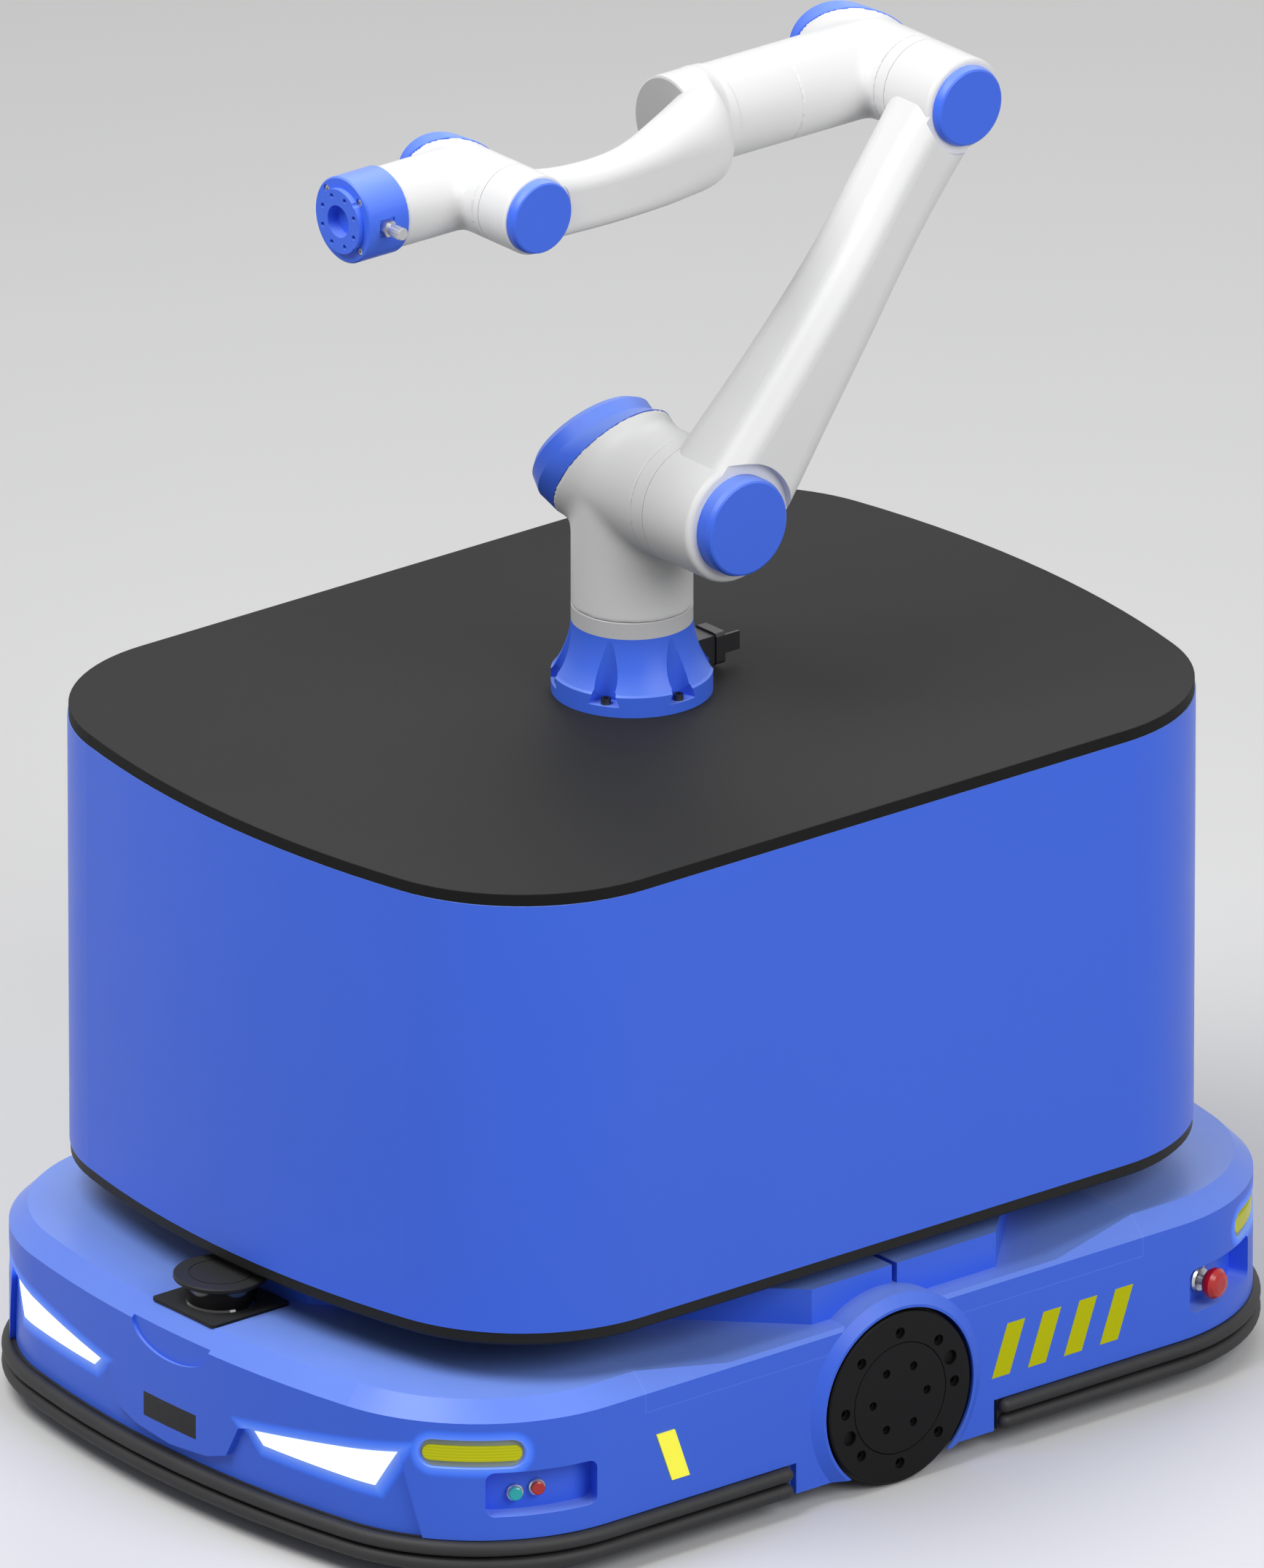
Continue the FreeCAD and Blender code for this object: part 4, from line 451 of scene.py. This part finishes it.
def bare_metal(name, colour, rough, scale=160.0):
    finish = Finish(name)
    brush = finish.noise(scale, 3.0, 0.6, (1.0, 1.0, 9.0))
    stain = finish.noise(12.0, 4.0)
    base = finish.mix(stain * 0.25, colour, scaled(colour, 0.6))
    return finish.finish(base, rough + 0.16 * brush, finish.bump(brush, 0.12, 0.05), metallic=1.0)


def steel(colours):
    return bare_metal("steel", (0.46, 0.46, 0.47), 0.28)


def screw_steel(colours):
    return bare_metal("screw_steel", (0.60, 0.60, 0.61), 0.25, 420.0)


def dark_steel(colours):
    return bare_metal("dark_steel", (0.10, 0.10, 0.105), 0.35, 420.0)


def end_cover(colours):
    return grained(Finish("end_cover"), (0.42, 0.42, 0.42), 0.45, 900.0, 0.1, 0.05, 0.08)


def frame_coat(colours):
    return grained(Finish("frame_coat"), (0.035, 0.036, 0.040), 0.5, 700.0, 0.2, 0.2, 0.14)


def zinc(colours):
    finish = Finish("zinc")
    cells = finish.node("ShaderNodeTexVoronoi", {"Vector": finish.place, "Scale": 130.0}, output="Distance")
    base = finish.mix(cells, (0.50, 0.51, 0.52), (0.34, 0.35, 0.36))
    return finish.finish(base, 0.34 + 0.2 * cells, metallic=1.0)


def battery_case(colours):
    return grained(Finish("battery_case"), (0.028, 0.030, 0.036), 0.55, 600.0, 0.25, 0.15, 0.12)


def marking_film(colours):
    """Yellow film with tiny glass beads."""
    finish = Finish("marking_film")
    beads = finish.node("ShaderNodeTexVoronoi", {"Vector": finish.place, "Scale": 900.0}, output="Distance")
    base = finish.mix(beads * 0.22, colours.marking, scaled(colours.marking, 0.6))
    return finish.finish(base, 0.38 + 0.14 * beads, finish.bump(beads, 0.15, 0.1), specular_ior_level=0.12)


def indicator_lens(colours):
    """Ribbed yellow lens, faintly lit."""
    finish = Finish("indicator_lens")
    rib = finish.node("ShaderNodeMath", (finish.z / MM * 2.1,), operation="SINE")
    base = finish.mix(0.5 + 0.25 * rib, colours.marking, scaled(colours.marking, 0.75))
    light = finish.mix(0.5 + 0.4 * rib, scaled(colours.marking, 0.14), scaled(colours.marking, 0.08))
    return finish.finish(base, 0.16 + 0.05 * finish.noise(60.0), finish.bump(rib, 0.12, 0.2), emission=light,
                         emission_strength=1.0, specular_ior_level=0.2)


def reflector_prism(colours):
    """Bright reflector with a fine net of prisms, and a painted glint: emission that stands in for the light the
    prisms send back.
    """
    finish = Finish("reflector_prism")
    a = finish.node("ShaderNodeMath", ((finish.y + finish.z) / MM * 1.6,), operation="SINE")
    b = finish.node("ShaderNodeMath", ((finish.y - finish.z) / MM * 1.6,), operation="SINE")
    net = a * b
    base = finish.mix(0.5 + 0.4 * net, colours.reflector, scaled(colours.reflector, 0.86))
    painted_glint = finish.mix(0.5 + 0.4 * net, scaled(colours.reflector, 0.40), (0.22, 0.21, 0.0))
    return finish.finish(base, 0.22 + 0.08 * net, finish.bump(net, 0.3, 0.25), emission=painted_glint, emission_strength=1.0,
                         coat_weight=0.6, coat_roughness=0.05)


def lamp_face(colours):
    """Lit headlight: an even white panel with faint flutes."""
    finish = Finish("lamp_face")
    flute = finish.node("ShaderNodeMath", (finish.x / MM * 0.8,), operation="SINE")
    base = finish.mix(0.5 + 0.5 * flute, (0.86, 0.88, 0.90), (0.80, 0.83, 0.88))
    light = finish.mix(0.5 + 0.5 * flute, (1.0, 1.0, 1.0), (0.93, 0.96, 1.0))
    return finish.finish(base, 0.12 + 0.03 * finish.noise(40.0), finish.bump(flute, 0.1, 0.2), emission=light,
                         emission_strength=0.95, coat_weight=0.6, coat_roughness=0.04)


def dark_glass(colours):
    """Camera window: dark glass over two round lenses."""
    finish = Finish("dark_glass")
    x, z = abs(finish.x) / MM, finish.z / MM - WINDOW_Z
    ring = None
    for radius in (7.0, 3.6):
        dx = x - CAMERA_LENS_X
        edge = abs(((dx * dx + z * z) ** 0.5) - radius).below(0.5, 0.5)
        ring = edge if ring is None else (ring + edge).clamp()
    base = finish.mix(ring * 0.5, (0.017, 0.017, 0.018), (0.006, 0.007, 0.009))
    smear = finish.noise(25.0, 5.0)
    return finish.finish(base, 0.14 + 0.10 * smear, specular_ior_level=0.2)


def button_cap(name, colour):
    finish = Finish(name)
    cloud = finish.noise(90.0, 3.0)
    base = finish.mix(cloud * 0.16, colour, scaled(colour, 0.6))
    return finish.finish(base, 0.22 + 0.12 * cloud, finish.bump(finish.noise(1500.0, 1.0), 0.1, 0.05),
                         coat_weight=0.35, coat_roughness=0.12)


def start_cap(colours):
    return button_cap("start_cap", colours.start)


def stop_cap(colours):
    return button_cap("stop_cap", colours.stop)


def bezel_metal(colours):
    return bare_metal("bezel_metal", (0.62, 0.63, 0.65), 0.22, 500.0)


def charge_pad(colours):
    """Black moulded frame, with bright metal where the two contact bars stand proud of it."""
    finish = Finish("charge_pad")
    proud = (finish.y - (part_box("charge_contacts")[1][1] - 1.7 * MM)).above(0.0)
    brush = finish.noise(200.0, 3.0, 0.6, (1.0, 1.0, 7.0))
    base = finish.mix(proud, colours.black, (0.80, 0.52, 0.22))
    return finish.finish(base, 0.42 - 0.2 * proud + 0.12 * brush, finish.bump(brush, 0.15, 0.08), metallic=proud)


def socket_plastic(colours):
    return grained(Finish("socket_plastic"), (0.022, 0.022, 0.024), 0.4, 900.0, 0.12, 0.15, 0.12)


NODE_FINISHES = {
    body_paint: ("body_shell", "side_lids"),
    cabinet_paint: ("cabinet_shell", "drive_cover_front", "drive_cover_rear", "wheel_arches"),
    roof_coat: ("roof_plate",),
    black_plastic: ("cabinet_base", "lidar_plate", "lidar_cap"),
    black_gloss: ("lidar_body",),
    rubber: ("bumper_rails",),
    tyre_rubber: ("tyre_left", "tyre_right"),
    wheel_metal: ("drive_wheel_left", "drive_wheel_right"),
    lamp_face: ("headlights",),
    indicator_lens: ("indicator_lenses",),
    dark_glass: ("camera_window",),
    reflector_prism: ("reflectors",),
    charge_pad: ("charge_contacts",),
    bezel_metal: ("button_bezels", "estop_collar"),
    start_cap: ("start_button",),
    stop_cap: ("stop_button", "estop_head"),
    steel: ("estop_stem", "gearmotors"),
    frame_coat: ("chassis_frame", "cabinet_supports", "cabinet_frame", "arm_pedestal"),
    zinc: ("caster_plates",),
    battery_case: ("battery_pack", "electronics"),
    arm_trim: ("arm_base", "shoulder_rear_cap", "upper_arm_caps", "elbow_rear_cap", "forearm_cap",
               "wrist_rear_cap", "tool_flange"),
    arm_ring: ("base_ring",),
    arm_shell: ("shoulder_housing", "upper_arm", "elbow_housing", "forearm", "wrist_housing"),
    end_cover: ("forearm_end_cover",),
    socket_plastic: ("base_connector",),
    screw_steel: ("tool_connector",),
    dark_steel: ("base_bolts",),
}


# ---------------------------------------------------------------- modelling helpers
def clear():
    """Leaves edit mode and selects nothing."""
    if bpy.context.object and bpy.context.object.mode != "OBJECT":
        bpy.ops.object.mode_set(mode="OBJECT")
    bpy.ops.object.select_all(action="DESELECT")


def block(name, centre, size):
    """Box of a size about a centre, ready to be shaped."""
    clear()
    bpy.ops.mesh.primitive_cube_add(size=1, location=centre, scale=size)
    bpy.ops.object.transform_apply(location=True, rotation=True, scale=True)
    piece = bpy.context.object
    piece.name = piece.data.name = name
    return piece


def disc(name, radius, depth, centre, axis, sides=32):
    """Short round bar along an axis, its first end at the centre."""
    clear()
    turn = Vector(axis).to_track_quat("Z", "Y").to_euler()
    middle = Vector(centre) + Vector(axis).normalized() * depth / 2
    bpy.ops.mesh.primitive_cylinder_add(vertices=sides, radius=radius, depth=depth, location=middle, rotation=turn)
    bpy.ops.object.transform_apply(location=True, rotation=True, scale=True)
    piece = bpy.context.object
    piece.name = piece.data.name = name
    return piece


def choose(piece, kind, test):
    """Enters edit mode with only the vertices, edges or faces that pass a test selected."""
    clear()
    piece.select_set(True)
    bpy.context.view_layer.objects.active = piece
    bpy.ops.object.mode_set(mode="EDIT")
    bpy.ops.mesh.select_mode(type=kind)
    bpy.ops.mesh.select_all(action="DESELECT")
    bpy.ops.object.mode_set(mode="OBJECT")
    mesh = piece.data
    parts = {"VERT": mesh.vertices, "EDGE": mesh.edges, "FACE": mesh.polygons}[kind]
    for part in parts:
        part.select = bool(test(part))
    bpy.ops.object.mode_set(mode="EDIT")


def facing(axis):
    way = Vector(axis).normalized()
    return lambda face: face.normal.dot(way) > 0.9


def complete(piece, body, material):
    """Smooths a piece, gives it its finish and hangs it on its body."""
    clear()
    piece.select_set(True)
    bpy.context.view_layer.objects.active = piece
    bpy.ops.object.mode_set(mode="EDIT")
    bpy.ops.mesh.select_all(action="SELECT")
    bpy.ops.mesh.normals_make_consistent(inside=False)
    bpy.ops.object.mode_set(mode="OBJECT")
    bpy.ops.object.shade_smooth_by_angle(angle=math.radians(35))
    piece.data.materials.clear()
    piece.data.materials.append(material)
    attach(piece, body)


def twin(piece, name, shift=(0, 0, 0), mirror_x=False, matrix=None):
    """Copy of a piece with its own mesh, moved or turned in the mesh."""
    mesh = piece.data.copy()
    if matrix is not None:
        mesh.transform(matrix)
    if mirror_x:
        mesh.transform(Matrix.Scale(-1, 4, (1, 0, 0)))
        mesh.flip_normals()
    mesh.transform(Matrix.Translation(shift))
    copy = bpy.data.objects.new(name, mesh)
    mesh.name = name
    bpy.context.scene.collection.objects.link(copy)
    return copy


MADE = {}


def material_of(recipe):
    """Material of a recipe, made once."""
    name = recipe.__name__
    if name not in MADE:
        MADE[name] = recipe(bpy.context.scene.robot_colours)
    return MADE[name]


# ---------------------------------------------------------------- operators
class ROBOT_OT_finishes(bpy.types.Operator):
    """Gives every part of the frame its finish"""
    bl_idname = "robot.finishes"
    bl_label = "Finishes"

    def execute(self, context):
        done = set()
        for recipe, names in NODE_FINISHES.items():
            for name in names:
                self.paint(name, material_of(recipe))
                done.add(name)
        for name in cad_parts:
            if name.startswith("caster_wheel"):
                self.paint(name, material_of(caster_tread))
            elif name.startswith("caster_fork"):
                self.paint(name, material_of(zinc))
            elif name not in done:
                raise RuntimeError("no finish for " + name)
        return {"FINISHED"}

    def paint(self, name, material):
        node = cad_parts[name]
        if not node.material_slots:
            node.data.materials.append(material)
        for slot in node.material_slots:
            slot.material = material


class ROBOT_OT_housings(bpy.types.Operator):
    """Joint housings whose tubes run into each other in soft blends, as cast covers do"""
    bl_idname = "robot.housings"
    bl_label = "Joint housings"

    def execute(self, context):
        s = context.scene.robot_housings
        shell = material_of(arm_shell)
        for node, body, rounds in (("shoulder_housing", "shoulder", s.shoulder), ("elbow_housing", "elbow", s.elbow),
                                   ("wrist_housing", "wrist", s.wrist)):
            piece = self.recast(node, s.voxel)
            for _ in range(rounds):
                self.fill_hollows(piece)
            complete(piece, body, shell)
            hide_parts(node)
        return {"FINISHED"}

    def recast(self, node, voxel):
        """Even, closed skin over a copy of a CAD node."""
        clear()
        piece = twin(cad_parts[node], node + "_shell")
        piece.select_set(True)
        bpy.context.view_layer.objects.active = piece
        bpy.ops.object.mode_set(mode="EDIT")
        bpy.ops.mesh.select_all(action="SELECT")
        bpy.ops.mesh.remove_doubles(threshold=0.02 * MM)
        bpy.ops.mesh.normals_make_consistent(inside=False)
        bpy.ops.object.mode_set(mode="OBJECT")
        skin = piece.modifiers.new("skin", "REMESH")
        skin.mode = "VOXEL"
        skin.voxel_size = voxel
        bpy.ops.object.modifier_apply(modifier=skin.name)
        return piece

    def fill_hollows(self, piece):
        """Relaxes the skin, but keeps only the moves that go outwards, so corners fill and edges stay."""
        before = [(v.co.copy(), v.normal.copy()) for v in piece.data.vertices]
        relax = piece.modifiers.new("relax", "SMOOTH")
        relax.factor, relax.iterations = 0.5, 12
        bpy.ops.object.modifier_apply(modifier=relax.name)
        for vertex, (place, outward) in zip(piece.data.vertices, before):
            if (vertex.co - place).dot(outward) <= 0:
                vertex.co = place


class ROBOT_OT_stripes(bpy.types.Operator):
    """Slanted yellow stripes on both sides behind the drive wheels"""
    bl_idname = "robot.stripes"
    bl_label = "Stripes"

    def execute(self, context):
        s = context.scene.robot_stripes
        film = material_of(marking_film)
        side = BODY_HIGH[0]
        first = block("stripe_left_1", (side + s.thick / 2, s.first - s.lean / 2, s.low + s.height / 2),
                      (s.thick, s.width, s.height))
        choose(first, "VERT", lambda v: v.co.z > s.low + s.height / 2)
        bpy.ops.transform.translate(value=(0, s.lean, 0))
        bpy.ops.object.mode_set(mode="OBJECT")
        choose(first, "FACE", facing((1, 0, 0)))
        bpy.ops.mesh.bevel(offset=s.thick * 0.4, segments=1)
        bpy.ops.object.mode_set(mode="OBJECT")
        for i in range(s.count):
            piece = first if i == 0 else twin(first, "stripe_left_%d" % (i + 1), (0, i * s.pitch, 0))
            other = twin(piece, "stripe_right_%d" % (i + 1), mirror_x=True)
            for stripe in (piece, other):
                complete(stripe, "base", film)
        return {"FINISHED"}


def screw_head(name, radius, height, centre, axis):
    """Socket head: round head with a bevelled rim and a round socket."""
    head = disc(name, radius, height, centre, axis, 24)
    way = Vector(axis).normalized()
    choose(head, "FACE", facing(axis))
    bpy.ops.mesh.bevel(offset=radius * 0.12, segments=2)
    choose(head, "FACE", lambda face: face.normal.dot(way) > 0.99)
    bpy.ops.mesh.inset(thickness=radius * 0.42, depth=0)
    bpy.ops.mesh.inset(thickness=radius * 0.02, depth=-height * 0.5)
    bpy.ops.object.mode_set(mode="OBJECT")
    return head


# Depth of the screw seats behind the flange face, and height of the heads.
SCREW_SEAT = 10.9 * MM
SCREW_HEIGHT = 4.2 * MM


class ROBOT_OT_flange_screws(bpy.types.Operator):
    """Socket screws in the four pockets of the tool flange"""
    bl_idname = "robot.flange_screws"
    bl_label = "Flange screws"

    def execute(self, context):
        f = context.scene.robot_fasteners
        steel_screw = material_of(screw_steel)
        for i in range(4):
            a = math.radians(45 + 90 * i)
            seat = Vector((f.flange_circle * math.cos(a), FLANGE_LOW[1] + SCREW_SEAT,
                           FLANGE_Z + f.flange_circle * math.sin(a)))
            head = screw_head("flange_screw_%d" % (i + 1), f.flange_head, SCREW_HEIGHT, seat, (0, -1, 0))
            complete(head, "flange", steel_screw)
        return {"FINISHED"}


class ROBOT_OT_axle_nuts(bpy.types.Operator):
    """Hexagon nuts at both ends of every caster axle"""
    bl_idname = "robot.axle_nuts"
    bl_label = "Axle nuts"

    def execute(self, context):
        f = context.scene.robot_fasteners
        metal = material_of(screw_steel)
        for corner in ("fl", "fr", "rl", "rr"):
            fork = "caster_fork_" + corner
            low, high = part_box(fork)
            wheel_low, wheel_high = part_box("caster_wheel_" + corner)
            y, z = (wheel_low[1] + wheel_high[1]) / 2, (wheel_low[2] + wheel_high[2]) / 2
            middle = (low[0] + high[0]) / 2
            reach = (wheel_high[0] - wheel_low[0]) / 2 + 4.6 * MM
            for sx, side in ((1, "out"), (-1, "in")):
                start = (middle + sx * reach, y, z)
                nut = disc("axle_nut_%s_%s" % (corner, side), f.nut, 5.2 * MM, start, (sx, 0, 0), 6)
                choose(nut, "FACE", facing((sx, 0, 0)))
                bpy.ops.mesh.bevel(offset=0.9 * MM, segments=2)
                choose(nut, "FACE", lambda face: face.normal.x * sx > 0.99)
                bpy.ops.mesh.inset(thickness=2.0 * MM, depth=0)
                bpy.ops.mesh.inset(thickness=0.3 * MM, depth=1.4 * MM)
                bpy.ops.object.mode_set(mode="OBJECT")
                complete(nut, fork, metal)
        return {"FINISHED"}


# Screw places under the floor pan, in millimetres from its middle.
SUPPORT_FOOT = (150, 250)
FOOT_CORNERS = ((20, 20), (-20, 20), (-20, -20), (20, -20))
BRACKET_FOOT = (330, 75)


class ROBOT_OT_pan_screws(bpy.types.Operator):
    """Button head screws under the floor pan, over the feet of the cabinet supports and brackets"""
    bl_idname = "robot.pan_screws"
    bl_label = "Pan screws"

    def execute(self, context):
        f = context.scene.robot_fasteners
        metal = material_of(screw_steel)
        low = PAN_LOW[2]
        (foot_x, foot_y), (edge_x, edge_y) = SUPPORT_FOOT, BRACKET_FOOT
        places = [(sx * foot_x + dx, sy * foot_y + dy) for sx in SIDES for sy in SIDES
                  for dx, dy in FOOT_CORNERS]
        places += [(sx * edge_x, sy * edge_y) for sx in SIDES for sy in SIDES]
        x0, y0 = places[0]
        first = screw_head("pan_screw_1", f.pan_head, 3.0 * MM, (x0 * MM, y0 * MM, low), (0, 0, -1))
        for i, (x, y) in enumerate(places):
            piece = twin(first, "pan_screw_%d" % (i + 1), ((x - x0) * MM, (y - y0) * MM, 0)) if i else first
            complete(piece, "base", metal)
        return {"FINISHED"}


# Soft lamps: name, place in metres, share of the key power.
LAMPS = (("front_lamp", (-0.23, -2.64, 4.84), 1.0), ("side_lamp", (4.31, 0.38, 3.10), 0.63),
         ("rear_lamp", (-2.03, 2.90, 4.14), 0.26))
LAMP_TARGET = (0, 0, 0.6)
FLOOR_BOUNCE = (0.30, 0.30, 0.30)
SKY_SHOWN = 0.86


class ROBOT_OT_stage(bpy.types.Operator):
    """Pale floor, soft lamps, even sky and the camera"""
    bl_idname = "robot.stage"
    bl_label = "Stage"

    def execute(self, context):
        s = context.scene.robot_stage
        self.floor(s)
        self.sky(context, s)
        for name, place, share in LAMPS:
            self.lamp(name, place, s.key * share, s.key_size)
        self.camera(context, s)
        return {"FINISHED"}

    def floor(self, s):
        clear()
        bpy.ops.mesh.primitive_circle_add(vertices=96, radius=s.floor, fill_type="NGON", location=(0, 0, 0))
        ground = bpy.context.object
        ground.name = ground.data.name = "studio_floor"
        finish = Finish("studio_floor")
        cloud = finish.noise(1.5, 3.0)
        seen = finish.node("ShaderNodeLightPath", output="Is Camera Ray")
        gloss = Signal(finish, seen.socket.node.outputs["Is Glossy Ray"])
        look = finish.mix(cloud, (s.floor_grey,) * 3, (s.floor_grey * 0.97,) * 3)
        base = finish.mix((seen + gloss).clamp(), FLOOR_BOUNCE, look)
        ground.data.materials.append(finish.finish(base, 0.75 + 0.05 * cloud))

    def sky(self, context, s):
        world = bpy.data.worlds.new("studio_sky")
        world.use_nodes = True
        context.scene.world = world
        nodes, links = world.node_tree.nodes, world.node_tree.links
        back = nodes["Background"]
        path = nodes.new("ShaderNodeLightPath")
        shown = nodes.new("ShaderNodeMath")
        shown.operation = "MAXIMUM"
        links.new(path.outputs["Is Camera Ray"], shown.inputs[0])
        links.new(path.outputs["Is Glossy Ray"], shown.inputs[1])
        level = nodes.new("ShaderNodeMapRange")
        links.new(shown.outputs[0], level.inputs["Value"])
        level.inputs["To Min"].default_value = s.sky
        level.inputs["To Max"].default_value = SKY_SHOWN
        links.new(level.outputs["Result"], back.inputs["Strength"])
        back.inputs["Color"].default_value = (1.0, 1.0, 1.0, 1.0)

    def lamp(self, name, place, power, size):
        clear()
        bpy.ops.object.light_add(type="AREA", location=place)
        lamp = bpy.context.object
        lamp.name = lamp.data.name = name
        lamp.data.energy = power
        lamp.data.shape = "DISK"
        lamp.data.size = size
        lamp.rotation_euler = (Vector(LAMP_TARGET) - Vector(place)).to_track_quat("-Z", "Y").to_euler()

    def camera(self, context, s):
        clear()
        flat = math.cos(s.elevation)
        back = Vector((flat * math.sin(s.azimuth), -flat * math.cos(s.azimuth), math.sin(s.elevation)))
        right = Vector((math.cos(s.azimuth), math.sin(s.azimuth), 0))
        up = back.cross(right)
        data = bpy.data.cameras.new("studio_camera")
        data.lens = s.lens
        data.sensor_width = 36.0
        distance = s.frame_height * s.lens / data.sensor_width
        data.clip_start, data.clip_end = 1.0, 4 * distance
        camera = bpy.data.objects.new("studio_camera", data)
        place = up * s.aim + back * distance
        turn = Matrix((right, up, back)).transposed().to_4x4()
        camera.matrix_world = Matrix.Translation(place) @ turn
        context.scene.collection.objects.link(camera)
        context.scene.camera = camera
        context.scene.view_settings.view_transform = "Standard"


class ROBOT_PT_panel(bpy.types.Panel):
    """Lists the steps and their settings"""
    bl_idname = "ROBOT_PT_panel"
    bl_label = "Mobile robot"
    bl_space_type = "VIEW_3D"
    bl_region_type = "UI"
    bl_category = "Robot"

    def draw(self, context):
        for operator in OPERATORS:
            self.layout.operator(operator.bl_idname)
        for key in SETTINGS:
            group = getattr(context.scene, key)
            column = self.layout.column(align=True)
            for name in group.__annotations__:
                column.prop(group, name)


SETTINGS = {"robot_colours": RobotColours, "robot_stripes": RobotStripes, "robot_fasteners": RobotFasteners,
            "robot_housings": RobotHousings,
            "robot_stage": RobotStage}
OPERATORS = (ROBOT_OT_stage, ROBOT_OT_finishes, ROBOT_OT_housings, ROBOT_OT_stripes, ROBOT_OT_flange_screws,
             ROBOT_OT_axle_nuts, ROBOT_OT_pan_screws)


def register():
    for item in (*SETTINGS.values(), *OPERATORS, ROBOT_PT_panel):
        bpy.utils.register_class(item)
    for key, group in SETTINGS.items():
        setattr(bpy.types.Scene, key, PointerProperty(type=group))


def unregister():
    for key in SETTINGS:
        delattr(bpy.types.Scene, key)
    for item in reversed((*SETTINGS.values(), *OPERATORS, ROBOT_PT_panel)):
        bpy.utils.unregister_class(item)


def main():
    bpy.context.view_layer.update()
    register()
    for operator in OPERATORS:
        group, name = operator.bl_idname.split(".")
        getattr(getattr(bpy.ops, group), name)()
    clear()


if __name__ == "__main__":
    main()
